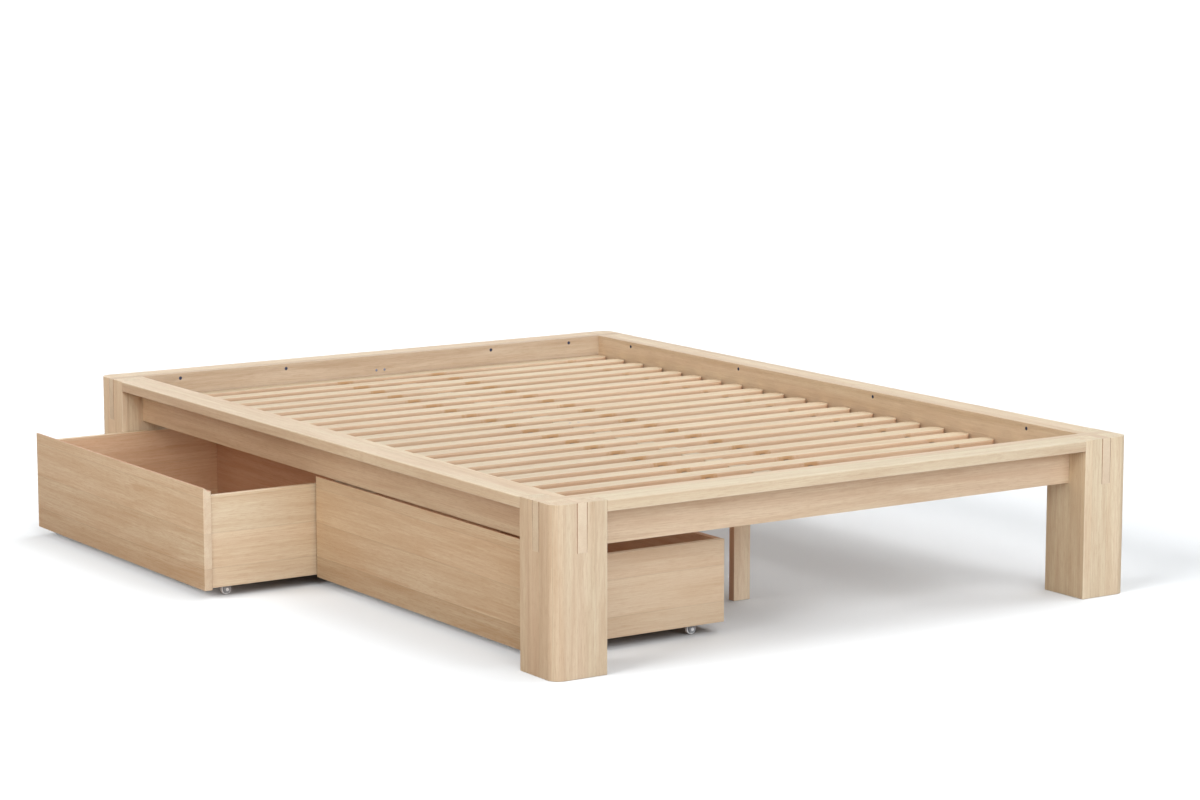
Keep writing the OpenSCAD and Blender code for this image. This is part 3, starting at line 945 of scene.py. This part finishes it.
def sanded(node, material, rim, joint=nowhere, inside=plain, shape=as_built):
    """A construction piece as sanded wood. joint(place) says where its edges lie in a joint."""
    piece = merged_copy(node)
    shape(piece)

    def is_rim(start, end):
        return not joint((start + end) / 2) and not flush_joint(start, end)

    def is_joint(start, end):
        return joint((start + end) / 2) and not flush_joint(start, end)

    bevel_edges(piece, is_joint, JOINT_EASE, JOINT_STEPS, clamp=False)
    bevel_edges(piece, is_rim, rim, RIM_STEPS)
    mark_piece(piece, node, joint, inside)
    finish_piece(piece, material, BODY_OF[node], [node])


print("joint edges are cut by", round(1000 * JOINT_EASE, 1), "mm, in", JOINT_STEPS, "step")

# %% [markdown]
# ## Legs
#
# A leg is one square post with a large radius on its outer corner, already in the construction.
# Its open rims get a round bevel. The two slots at its top hold the ends of the boards, and
# their upright edges get the flat cut, so that a fine brown line shows beside each board's end.

# %% Legs
LEG_RIM = 0.0014
SLOT_REACH = 0.0004
OVER_BOARD_LOW = 0.001
UNDER_TOP = 0.0005
half_board = (board_high.x - board_low.x) / 2
SLOTS = tuple((axis, (low[axis] + high[axis]) / 2) for axis, low, high in (
    (0, board_low, board_high), (0, right_low, right_high),
    (1, end_low, end_high), (1, head_low, head_high)))


def clear_of_ends(place):
    """Between the lower edge of the boards and the top of the bed."""
    return BOARD_LOW + OVER_BOARD_LOW <= place.z <= TOP - UNDER_TOP


def in_slot(place):
    """On a leg: an upright edge of the slots that the boards lie in."""
    return clear_of_ends(place) and any(
        abs(abs(place[axis] - centre) - half_board) < SLOT_REACH for axis, centre in SLOTS)


legs = sorted(name for name in NODES if name.startswith("leg_"))
for name in legs:
    sanded(name, LEG_WOOD, LEG_RIM, joint=in_slot)
print("legs:", len(legs))

# %% [markdown]
# ## Rails
#
# Each rail is an upright board and a flat strip along its outside. The boards run right through
# the legs, and their ends are planed flush with them, so their end grain shows in the legs'
# faces. The strips end at the legs with a fine joint line. The lower edge of the left board hangs
# over the drawer fronts and never sees light, so it gets the groove's brown as painted shade.

# %% Rails
RAIL_RIM = 0.0012
STRIP_RIM = 0.0004
END_REACH = 0.0008
SLANTED = 0.3


def in_board_end(place):
    """On a board: an upright edge of the end that shows in a leg's face."""
    return clear_of_ends(place) and any(
        abs(place[axis] - value) < END_REACH for axis, value in OUTER_RIM)


def planed_end(face):
    """A board's end that lies in a leg's outer face."""
    for axis, value in OUTER_RIM:
        if abs(face.center[axis] - value) < ON_PLANE and abs(face.normal[axis]) > FACING:
            return END_VALUE
    return 0.0


def over_fronts(face):
    """A planed end, or the lower edge over the drawer fronts, which gets painted shade."""
    if face.normal.z < -SLANTED and face.center.z < BOARD_LOW + 2 * OVER_BOARD_LOW:
        return GROOVE_AND_SHADE_VALUE
    return planed_end(face)


for side, marks in (("left", over_fronts), ("right", planed_end)):
    sanded("board_" + side, LONG_RAIL_WOOD, RAIL_RIM, joint=in_board_end, inside=marks)
    sanded("strip_" + side, LONG_RAIL_WOOD, STRIP_RIM)
for end in ("foot", "head"):
    sanded("board_" + end, END_RAIL_WOOD, RAIL_RIM, joint=in_board_end, inside=planed_end)
    sanded("strip_" + end, END_RAIL_WOOD, STRIP_RIM)
print("rails:", len([name for name in NODES if name.startswith(("board_", "strip_"))]))

# %% [markdown]
# ## What carries the slats
#
# A ledger along each side carries the slats' ends. A beam with a notch for every slat carries
# them in the middle, and stands on two short legs. They lie in the shade under the slats, so
# they only get small rims. The drawer side of the short legs gets painted shade.

# %% Ledgers, beam and middle legs
HIDDEN_RIM = 0.0008


def away_from_light(face):
    """The side of a middle leg that looks at the drawers, which gets painted shade."""
    return END_GRAIN_AND_SHADE_VALUE if face.normal.x < -FACING else 0.0


# The ledgers and the beam get a darker tone as painted shade, the middle legs a brighter one as
# painted light.
sanded("ledgers", LONG_RAIL_WOOD, HIDDEN_RIM)
sanded("beam", LONG_RAIL_WOOD, HIDDEN_RIM)
sanded("middle_legs", LEG_WOOD, HIDDEN_RIM, inside=away_from_light)
beam_low, beam_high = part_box("beam")
print("beam:", round(1000 * (beam_high.y - beam_low.y)), "mm long")

# %% [markdown]
# ## Slats
#
# The long edges of a slat are already round in the construction. Its ends are rounded a little
# more, like a tongue: four cuts across give the extra corners, and near the end all corners draw
# in towards the slat's middle line. The narrow sides of a slat are painted darker and pinker, as
# painted shade, and the end grain drinks more oil and turns brown. Each slat has its own number,
# so the streaks differ from slat to slat.

# %% Slats
SLAT_RIM = 0.0007
FIRST_ROUND = 0.014
TONGUE_ROUND = 0.022
TONGUE_CUTS = (0.018, TONGUE_ROUND)
END_GRAIN = 0.45
SIDE_GRAIN = 0.25


def corner_box(places):
    """The lowest and the highest corner of the box round some places."""
    return (Vector([min(place[axis] for place in places) for axis in range(3)]),
            Vector([max(place[axis] for place in places) for axis in range(3)]))


def half_width(from_end, half, radius):
    """Half the width of a strip with rounded corners, at a distance from its end."""
    if from_end >= radius:
        return half
    return half - radius + math.sqrt(radius ** 2 - (radius - from_end) ** 2)


def tongue_ends(piece):
    """Makes a slat's ends rounder."""
    low, high = corner_box([vertex.co for vertex in piece.data.vertices])
    select_only(piece)
    bpy.ops.object.mode_set(mode="EDIT")
    for depth in TONGUE_CUTS:
        for cut in (low.x + depth, high.x - depth):
            bpy.ops.mesh.select_all(action="SELECT")
            bpy.ops.mesh.bisect(plane_co=(cut, 0, 0), plane_no=(1, 0, 0))
    bpy.ops.object.mode_set(mode="OBJECT")
    half, middle = (high.y - low.y) / 2, (high.y + low.y) / 2
    for vertex in piece.data.vertices:
        from_end = max(0.0, min(vertex.co.x - low.x, high.x - vertex.co.x))
        narrower = (half_width(from_end, half, TONGUE_ROUND)
                    / half_width(from_end, half, FIRST_ROUND))
        vertex.co.y = middle + (vertex.co.y - middle) * narrower


def slat_side(face):
    """Marks the end grain of a slat, and its narrow sides for painted shade."""
    if abs(face.normal.x) > END_GRAIN:
        return END_GRAIN_AND_SHADE_VALUE
    return SIDE_VALUE if abs(face.normal.y) > SIDE_GRAIN else 0.0


slats = sorted(name for name in NODES if name.startswith("slat_"))
for name in slats:
    sanded(name, SLAT_WOOD, SLAT_RIM, inside=slat_side, shape=tongue_ends)
print("slats:", len(slats))

# %% [markdown]
# ## Drawers
#
# Fronts and box boards have their fibres lying down. The sides of a box run in and out, its
# front and back along the bed. The faces that look into the box get painted shade, darker and
# redder, and so do the top edges of its front and back. The ends of a front are painted as pale
# as a rim, a painted highlight.

# %% Drawers
FRONT_RIM = 0.0013
BOX_RIM = 0.0010
PANEL_RIM = 0.0003
HALF_FACING = 0.5


def looks_along(axis, sign, value=INSIDE_VALUE):
    """Marks the faces whose normal points that way."""
    return lambda face: value if face.normal[axis] * sign > FACING else 0.0


def behind_front(face):
    """Marks a front's back, grip and top edge as painted shade, its ends as painted highlight."""
    if abs(face.normal.y) > FACING:
        return RIM_VALUE
    return END_GRAIN_AND_SHADE_VALUE if max(face.normal.x, face.normal.z) > HALF_FACING else 0.0


def before_back(face):
    """Marks the inner face of a box's back and its top edge as painted shade."""
    return END_GRAIN_AND_SHADE_VALUE if max(-face.normal.x, face.normal.z) > SLANTED else 0.0


DRAWERS = ("near", "far")
for drawer in DRAWERS:
    sanded(drawer + "_front", FRONT_WOOD, FRONT_RIM, inside=behind_front)
    sanded(drawer + "_back", BOX_LONG_WOOD, BOX_RIM, inside=before_back)
    sanded(drawer + "_bottom", BOX_LONG_WOOD, PANEL_RIM, inside=looks_along(2, 1, END_GRAIN_AND_SHADE_VALUE))
    sanded(drawer + "_side_foot", BOX_END_WOOD, BOX_RIM, inside=looks_along(1, 1))
    sanded(drawer + "_side_head", BOX_END_WOOD, BOX_RIM, inside=looks_along(1, -1))
print("drawers:", len(DRAWERS), "of 5 boards each")

# %% [markdown]
# ## Finding the small parts
#
# The bolts, screws, bands and castors each have several loose bodies in one construction piece.
# The boxes of those bodies tell where every copy has to go.

# %% Find the small parts


def loose_boxes(node):
    """The lowest and highest corner of each separate body in a construction piece."""
    piece = merged_copy(node)
    mesh = piece.data
    parent = list(range(len(mesh.vertices)))

    def root(index):
        while parent[index] != index:
            parent[index] = parent[parent[index]]
            index = parent[index]
        return index

    for edge in mesh.edges:
        parent[root(edge.vertices[0])] = root(edge.vertices[1])
    groups = {}
    for vertex in mesh.vertices:
        groups.setdefault(root(vertex.index), []).append(vertex.co.copy())
    bpy.data.objects.remove(piece)
    return sorted((corner_box(corners) for corners in groups.values()),
                  key=lambda box: tuple(round(v, 4) for v in box[0]))


def placed_copy(master, name, matrix):
    """A copy of a finished piece with its own mesh, moved there in its mesh."""
    piece = bpy.data.objects.new(name, master.data.copy())
    bpy.context.scene.collection.objects.link(piece)
    piece.data.transform(matrix)
    return piece


def cut_away(piece, cutter):
    """Cuts the cutter out of a piece with a boolean, and removes the cutter."""
    select_only(piece)
    cut = piece.modifiers.new("cut", "BOOLEAN")
    cut.operation = "DIFFERENCE"
    cut.solver = "EXACT"
    cut.object = cutter
    bpy.ops.object.modifier_apply(modifier="cut")
    bpy.data.objects.remove(cutter)


bolt_boxes = loose_boxes("bolts")
screw_boxes = loose_boxes("screws")
band_boxes = loose_boxes("bands")
print("bolts:", len(bolt_boxes), "screws:", len(screw_boxes), "bands:", len(band_boxes))

# %% [markdown]
# ## Steel
#
# The bolts are zinc plated and tumbled: a dark blue-grey metal with fine cloudy spots, rough
# enough to look soft. A group of two noises gives the spots, and the metal itself stays in the
# material. The screws are the same in a paler tone.

# %% Steel
SPOTS = (900, 900, 900)
HAZE = (260, 260, 260)
SPOT_TONES = (0.3, 0.7, 0.7, 1.25)
HAZE_SHEEN = (0.3, 0.7, 0.34, 0.52)
STEEL_BUMP = (0.2, 0.0001)
BOLT_TONE = (0.085, 0.095, 0.150, 1)
SCREW_TONE = (0.30, 0.32, 0.42, 1)


def make_plating_group():
    """Tone and roughness of tumbled zinc plating, from object coordinates in metres."""
    group, start, end = new_group(
        "tumbled_plating",
        [("Vector", "NodeSocketVector", None), ("Tone", "NodeSocketColor", (0.3, 0.3, 0.3, 1))],
        GROUP_PUTS_OUT)
    place = start.outputs["Vector"]
    spots = stretched_noise(group, place, SPOTS, 3.0, 0.6, (-800, 200))
    haze = stretched_noise(group, place, HAZE, 2.0, 0.5, (-800, -100))
    shade = ranged(group, spots, *SPOT_TONES, (-400, 200))
    colour = scaled(group, start.outputs["Tone"], shade, (-100, 200))
    sheen = ranged(group, haze, *HAZE_SHEEN, (-400, -100))
    connect(group, (colour, end.inputs["Color"]), (sheen, end.inputs["Roughness"]),
            (spots, end.inputs["Height"]))
    return group


def make_finish(name, group, values, bump, **numbers_of_shader):
    """A material whose colour, roughness and height all come from one node group."""
    material, tree, shader, place = new_material(name)
    recipe = add_node(tree, "ShaderNodeGroup", (-500, 0), node_tree=group)
    set_inputs(recipe, values)
    tree.links.new(place, recipe.inputs["Vector"])
    finish_shader(tree, shader, recipe.outputs["Color"], recipe, *bump)
    set_inputs(shader, numbers_of_shader)
    return material


PLATING = make_plating_group()
BOLT_STEEL = make_finish("bolt_steel", PLATING, {"Tone": BOLT_TONE}, STEEL_BUMP, Metallic=1.0)
SCREW_STEEL = make_finish("screw_steel", PLATING, {"Tone": SCREW_TONE}, STEEL_BUMP, Metallic=1.0)
print("plating group:", len(PLATING.nodes), "nodes")

# %% [markdown]
# ## Bolts
#
# A furniture bolt has a cylinder head with a hexagon socket. It lies sunk in its hole with its
# face flush with the board. One bolt is turned as a cylinder, its shank is extruded from the
# back of the head, and a six-sided cutter makes the socket.

# %% One bolt
BOLT_HEAD_R = 0.0045
BOLT_HEAD_H = 0.004
BOLT_SHANK_R = 0.003
SOCKET_R = 0.0024
SOCKET_DEEP = 0.0024
BOLT_SIDES = 36
HEAD_INSET = 0.0006
HEAD_ROUND = 0.0004
TIP_INSET = 0.0008
TIP_LENGTH = 0.0006


def pick_faces(piece, wanted):
    """Selects the faces that wanted(face) picks and stays in face select mode."""
    select_only(piece)
    bpy.ops.object.mode_set(mode="EDIT")
    bpy.ops.mesh.select_mode(type="FACE")
    bpy.ops.mesh.select_all(action="DESELECT")
    bpy.ops.object.mode_set(mode="OBJECT")
    for face in piece.data.polygons:
        face.select = wanted(face)
    bpy.ops.object.mode_set(mode="EDIT")


def turned_head(radius, height, shank, length, sides):
    """A head with its face at z = 0 and its shank below it."""
    bpy.ops.object.select_all(action="DESELECT")
    bpy.ops.mesh.primitive_cylinder_add(vertices=sides, radius=radius, depth=height,
                                        location=(0, 0, -height / 2))
    piece = bpy.context.object
    bpy.ops.object.transform_apply(location=True, rotation=False, scale=False)
    pick_faces(piece, lambda face: face.normal.z > FACING)
    bpy.ops.mesh.inset(thickness=HEAD_INSET, depth=0)
    bpy.ops.object.mode_set(mode="OBJECT")
    for vertex in piece.data.vertices:
        if vertex.co.z > -TOUCH and vertex.co.xy.length > radius - TOUCH:
            vertex.co.z -= HEAD_ROUND
    pick_faces(piece, lambda face: face.normal.z < -FACING)
    bpy.ops.mesh.inset(thickness=radius - shank, depth=0)
    bpy.ops.mesh.extrude_region_move(TRANSFORM_OT_translate={"value": (0, 0, height - length)})
    bpy.ops.mesh.inset(thickness=TIP_INSET, depth=TIP_LENGTH)
    bpy.ops.object.mode_set(mode="OBJECT")
    return piece


bolt_length = max(bolt_boxes[0][1] - bolt_boxes[0][0])
bolt_master = turned_head(BOLT_HEAD_R, BOLT_HEAD_H, BOLT_SHANK_R, bolt_length,
                          BOLT_SIDES)
bpy.ops.object.select_all(action="DESELECT")
bpy.ops.mesh.primitive_cylinder_add(vertices=6, radius=SOCKET_R, depth=2 * SOCKET_DEEP)
cut_away(bolt_master, bpy.context.object)
print("one bolt:", round(1000 * bolt_length), "mm long")

# %% [markdown]
# ## The bolts in their places
#
# The boxes of the construction's bolts say where each head lies. A head looks at the middle of
# the bed, or up where a screw stands in a slat. Nobody lines up the sockets of real bolts, so
# each copy is turned by a random angle round its own axis.

# %% The bolts in their places
bed_middle = (leg_low + far_high) / 2


def head_place(low, high):
    """The middle of the head's face, and the way it looks: up, or at the bed's middle."""
    size = high - low
    axis = max(range(3), key=lambda index: size[index])
    middle = (low + high) / 2
    sign = 1 if axis == 2 or bed_middle[axis] > middle[axis] else -1
    middle[axis] = high[axis] if sign > 0 else low[axis]
    way = Vector((0, 0, 0))
    way[axis] = sign
    return middle, way


def set_at(point, way):
    """The move that brings a part's origin to the point and turns its Z axis that way."""
    return Matrix.Translation(point) @ way.to_track_quat("Z", "Y").to_matrix().to_4x4()


def place_all(master, boxes, name, node, material):
    """One copy of the master for every box, each with its own turn round its axis."""
    for number, (low, high) in enumerate(boxes, start=1):
        spin = Matrix.Rotation(numbers.uniform(0, math.pi), 4, "Z")
        piece = placed_copy(master, "%s_%02d" % (name, number),
                            set_at(*head_place(low, high)) @ spin)
        finish_piece(piece, material, BODY_OF[node], [node])
    bpy.data.objects.remove(master)


place_all(bolt_master, bolt_boxes, "bolt", "bolts", BOLT_STEEL)
print("bolts:", len(bolt_boxes))

# %% [markdown]
# ## Screws
#
# Two screws hold one slat down on the middle beam, and two more sit over the beam in each end
# board. They have small round heads with a cross recess, which is cut with two thin bars.

# %% Screws
SCREW_HEAD_R = 0.0035
SCREW_HEAD_H = 0.0025
SCREW_SHANK_R = 0.002
CROSS_W = 0.0009
CROSS_L = 0.0040
CROSS_DEEP = 0.0012
SCREW_SIDES = 24

screw_length = max(screw_boxes[0][1] - screw_boxes[0][0])
screw_master = turned_head(SCREW_HEAD_R, SCREW_HEAD_H, SCREW_SHANK_R, screw_length,
                           SCREW_SIDES)
for long_side in (0, 1):
    bar = [CROSS_W, CROSS_W, 2 * CROSS_DEEP]
    bar[long_side] = CROSS_L
    bpy.ops.object.select_all(action="DESELECT")
    bpy.ops.mesh.primitive_cube_add(size=1, scale=bar)
    bpy.ops.object.transform_apply(location=False, rotation=False, scale=True)
    cut_away(screw_master, bpy.context.object)
place_all(screw_master, screw_boxes, "screw", "screws", SCREW_STEEL)
print("screws:", len(screw_boxes), "of", round(screw_length * 1000), "mm")

# %% [markdown]
# ## Bands
#
# Woven bands are threaded through slots in all the slats and keep them evenly apart. A band is
# flat, with a thicker woven edge on each side. The weave is far too fine to model, so a group
# makes it from crossing waves, and only the two raised edges are geometry.

# %% Band cloth
WEAVE_STEP = 0.0012
WEAVE_LIGHT = (0.50, 0.38, 0.27, 1)
WEAVE_DARK = (0.24, 0.16, 0.11, 1)
WEAVE_WEAR = (60, 18, 60)
WEAVE_WORN = (0.3, 0.7, 0.5, 1.0)
WEAVE_SHEEN = (0.0, 1.0, 0.95, 0.8)
CLOTH_BUMP = (0.6, 0.0002)
CLOTH_SHINE = 0.2


def make_weave_group():
    """Plain weave: waves of warp and weft, from object coordinates in metres."""
    group, start, end = new_group(
        "plain_weave",
        [("Vector", "NodeSocketVector", None), ("Step", "NodeSocketFloat", 0.001),
         ("Light", "NodeSocketColor", (0.6, 0.5, 0.4, 1)),
         ("Dark", "NodeSocketColor", (0.3, 0.2, 0.15, 1))],
        GROUP_PUTS_OUT)
    parts = split(group, start.outputs["Vector"], (-1200, 0))
    waves = []
    for part, y in ((parts[0], 200), (parts[1], -100)):
        turns = computed(group, "DIVIDE", part, start.outputs["Step"], (-1000, y))
        angle = computed(group, "MULTIPLY", turns, 2 * math.pi, (-820, y))
        waves.append(computed(group, "SINE", angle, 0.0, (-640, y)))
    crossing = computed(group, "MULTIPLY", waves[0], waves[1], (-420, 50))
    high = ranged(group, crossing, -1.0, 1.0, 0.0, 1.0, (-220, 50))
    worn = stretched_noise(group, start.outputs["Vector"], WEAVE_WEAR, 3.0, 0.6, (-640, -400))
    worn = ranged(group, worn, *WEAVE_WORN, (-220, -300))
    light = computed(group, "MULTIPLY", high, worn, (0, 0))
    colour = mixed(group, light, start.outputs["Dark"], start.outputs["Light"], (200, 0))
    sheen = ranged(group, high, *WEAVE_SHEEN, (200, -200))
    connect(group, (colour, end.inputs["Color"]), (sheen, end.inputs["Roughness"]),
            (high, end.inputs["Height"]))
    return group


WEAVE = make_weave_group()
BAND_CLOTH = make_finish(
    "woven_band", WEAVE, {"Step": WEAVE_STEP, "Light": WEAVE_LIGHT, "Dark": WEAVE_DARK},
    CLOTH_BUMP, **{"Specular IOR Level": CLOTH_SHINE})
print("weave group:", len(WEAVE.nodes), "nodes")

# %% [markdown]
# ## The bands themselves
#
# One band is a long flat bar. Its two flat sides are inset twice, and the second inset sinks the
# middle, which leaves the thicker edges standing. The other three are copies beside it.

# %% Bands
BAND_SELVEDGE = 0.0022
SELVEDGE_SLOPE = 0.0006
BAND_SINK = 0.0003
BAND_RIM = 0.0003
SOFT_STEPS = 2


def every_edge(start, end):
    """For a piece whose sharp edges are all beveled."""
    return True


low, high = band_boxes[0]
bpy.ops.object.select_all(action="DESELECT")
bpy.ops.mesh.primitive_cube_add(size=1, location=(low + high) / 2, scale=high - low)
band_master = bpy.context.object
bpy.ops.object.transform_apply(location=True, rotation=False, scale=True)
pick_faces(band_master, lambda face: abs(face.normal.z) > FACING)
bpy.ops.mesh.inset(thickness=BAND_SELVEDGE, depth=0)
bpy.ops.mesh.inset(thickness=SELVEDGE_SLOPE, depth=-BAND_SINK)
bpy.ops.object.mode_set(mode="OBJECT")
bevel_edges(band_master, every_edge, BAND_RIM, SOFT_STEPS)
for number, (low, high) in enumerate(band_boxes, start=1):
    move = Matrix.Translation(low - band_boxes[0][0])
    band = placed_copy(band_master, "band_%d" % number, move)
    finish_piece(band, BAND_CLOTH, BODY_OF["bands"], ["bands"])
bpy.data.objects.remove(band_master)
print("bands:", len(band_boxes), "of", round(max(high - low), 3), "m")

# %% [markdown]
# ## Plastic
#
# The castors are moulded. Nylon wheels are pale and slightly glossy, their housings grey and
# matt. Moulded plastic isn't perfectly even: the surface has a faint orange-peel, and scuffs
# make parts of it duller.

# %% Plastic
PEEL = (1400, 1400, 1400)
SCUFFS = (240, 240, 240)
SCUFF_TONES = (0.35, 0.7, 1.03, 0.90)
SCUFF_SHEEN = (0.3, 0.7, -0.05, 0.15)
PLASTIC_BUMP = (0.15, 0.0001)


def make_moulded_group():
    """Colour, roughness and height of moulded plastic, from object coordinates in metres."""
    group, start, end = new_group(
        "moulded",
        [("Vector", "NodeSocketVector", None), ("Tone", "NodeSocketColor", (0.8, 0.8, 0.8, 1)),
         ("Matt", "NodeSocketFloat", 0.4)],
        GROUP_PUTS_OUT)
    place = start.outputs["Vector"]
    peel = stretched_noise(group, place, PEEL, 2.0, 0.5, (-800, 200))
    scuff = stretched_noise(group, place, SCUFFS, 4.0, 0.65, (-800, -100))
    shade = ranged(group, scuff, *SCUFF_TONES, (-400, 200))
    colour = scaled(group, start.outputs["Tone"], shade, (-100, 200))
    extra = ranged(group, scuff, *SCUFF_SHEEN, (-400, -100))
    sheen = computed(group, "ADD", start.outputs["Matt"], extra, (-100, -100))
    connect(group, (colour, end.inputs["Color"]), (sheen, end.inputs["Roughness"]),
            (peel, end.inputs["Height"]))
    return group


def make_plastic(name, tone, matt):
    """Moulded plastic in that tone, from glossy at 0 to matt at 1."""
    return make_finish(name, MOULDED, {"Tone": tone, "Matt": matt}, PLASTIC_BUMP)


MOULDED = make_moulded_group()
WHEEL_NYLON = make_plastic("wheel_nylon", (0.93, 0.93, 0.94, 1), 0.30)
HOUSING_PLASTIC = make_plastic("housing_plastic", (0.34, 0.35, 0.37, 1), 0.5)
print("plastic group:", len(MOULDED.nodes), "nodes")

# %% [markdown]
# ## Castor housings
#
# Each housing is a plate with two round cheeks. The construction has them, so a copy only gets
# the small round edges of a moulding. A pale cap covers the end of the pin on each cheek. It is
# turned from a short cylinder whose face is inset twice to a low dome.

# %% Castor housings
HOUSING_RIM = 0.00035
CAP_R = 0.0038
CAP_H = 0.0009
CAP_SIDES = 32
CAP_INSET = 0.0012
CAP_DOME = (0.0003, 0.0001)
WHEELS_EACH = (1, 2, 3, 4)
ENDS = (("foot", -1), ("head", 1))

bpy.ops.object.select_all(action="DESELECT")
bpy.ops.mesh.primitive_cylinder_add(vertices=CAP_SIDES, radius=CAP_R, depth=2 * CAP_H)
cap_master = bpy.context.object
pick_faces(cap_master, lambda face: face.normal.z > FACING)
for depth in CAP_DOME:
    bpy.ops.mesh.inset(thickness=CAP_INSET, depth=depth)
bpy.ops.object.mode_set(mode="OBJECT")
for drawer in DRAWERS:
    node = drawer + "_housings"
    housing = merged_copy(node)
    bevel_edges(housing, every_edge, HOUSING_RIM, SOFT_STEPS)
    finish_piece(housing, HOUSING_PLASTIC, BODY_OF[node], [node])
    housing.name = "castors_" + drawer
    for number in WHEELS_EACH:
        axle = sum(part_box("%s_wheel_%d" % (drawer, number)), Vector()) / 2
        housing_box = min(loose_boxes(node), key=lambda box: (sum(box, Vector()) / 2 - axle).length)
        for (end, side), corner in zip(ENDS, housing_box):
            cap = placed_copy(cap_master, "pin_cap_%s_%d_%s" % (drawer, number, end),
                              set_at(Vector((axle.x, corner.y, axle.z)), Vector((0, side, 0))))
            finish_piece(cap, WHEEL_NYLON, BODY_OF[node])
bpy.data.objects.remove(cap_master)
print("castor housings:", len(DRAWERS) * len(WHEELS_EACH), "with a pin cap on each side")

# %% [markdown]
# ## Wheels
#
# A wheel is a body of revolution: a bore, a hub, a dished web and a crowned tread. Half of its
# section is drawn as a line of corners and spun round the axle. The recessed ring between hub and
# rim is moulded in a darker grey.

# %% Wheels
WEB_TONE = (0.40, 0.41, 0.43, 1)
WEB_MATT = 0.45
WEB_FROM, WEB_TO = 0.0046, 0.0092
WEB_CLEAR = 0.001
SPIN_STEPS = 64
SEAM_GAP = 0.00001
BORE_R = 0.00208
wheel_low, wheel_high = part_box("near_wheel_1")
wheel_r = (wheel_high.x - wheel_low.x) / 2
wheel_half = (wheel_high.y - wheel_low.y) / 2
# The half section: distance from the axle, and distance from the wheel's middle along the axle
WHEEL_LINE = (
    (BORE_R, 0.0), (BORE_R, wheel_half - 0.0003), (BORE_R + 0.0003, wheel_half),
    (0.0042, wheel_half), (0.0045, wheel_half - 0.0003),
    (0.0051, wheel_half - 0.0018), (0.0057, wheel_half - 0.0020),
    (0.0082, wheel_half - 0.0020), (0.0087, wheel_half - 0.0018),
    (0.0093, wheel_half - 0.0003), (0.0096, wheel_half),
    (wheel_r - 0.0012, wheel_half), (wheel_r - 0.0009, wheel_half - 0.0002),
    (wheel_r - 0.0001, wheel_half - 0.0024), (wheel_r, wheel_half - 0.0032), (wheel_r, 0.0),
)


def make_wheel():
    """One wheel round the Y axis, from a spun half section and its mirror image."""
    corners = [(r, y, 0.0) for r, y in WHEEL_LINE]
    mesh = bpy.data.meshes.new("wheel")
    mesh.from_pydata(corners, [(i, i + 1) for i in range(len(corners) - 1)], [])
    piece = bpy.data.objects.new("wheel_master", mesh)
    bpy.context.scene.collection.objects.link(piece)
    select_only(piece)
    bpy.ops.object.mode_set(mode="EDIT")
    bpy.ops.mesh.select_all(action="SELECT")
    bpy.ops.mesh.spin(steps=SPIN_STEPS, angle=2 * math.pi, center=(0, 0, 0), axis=(0, 1, 0))
    bpy.ops.object.mode_set(mode="OBJECT")
    mirror = piece.modifiers.new("other_side", "MIRROR")
    mirror.use_axis = (False, True, False)
    mirror.merge_threshold = SEAM_GAP
    bpy.ops.object.modifier_apply(modifier="other_side")
    bpy.ops.object.mode_set(mode="EDIT")
    bpy.ops.mesh.select_all(action="SELECT")
    bpy.ops.mesh.remove_doubles(threshold=SEAM_GAP)
    bpy.ops.mesh.normals_make_consistent(inside=False)
    bpy.ops.object.mode_set(mode="OBJECT")
    return piece


wheel_master = make_wheel()
WEB_PLASTIC = make_plastic("wheel_web", WEB_TONE, WEB_MATT)
for drawer in DRAWERS:
    for number in WHEELS_EACH:
        node = "%s_wheel_%d" % (drawer, number)
        low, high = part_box(node)
        middle = (low + high) / 2
        wheel = placed_copy(wheel_master, "tread_" + node, Matrix.Translation(middle))
        finish_piece(wheel, WHEEL_NYLON, BODY_OF[node], [node])
        wheel.data.materials.append(WEB_PLASTIC)
        for face in wheel.data.polygons:
            away = face.center - middle
            if WEB_FROM < away.xz.length < WEB_TO and abs(away.y) > WEB_CLEAR:
                face.material_index = 1
bpy.data.objects.remove(wheel_master)
print("wheels:", len(DRAWERS) * len(WHEELS_EACH), "of", round(2000 * wheel_r), "mm")
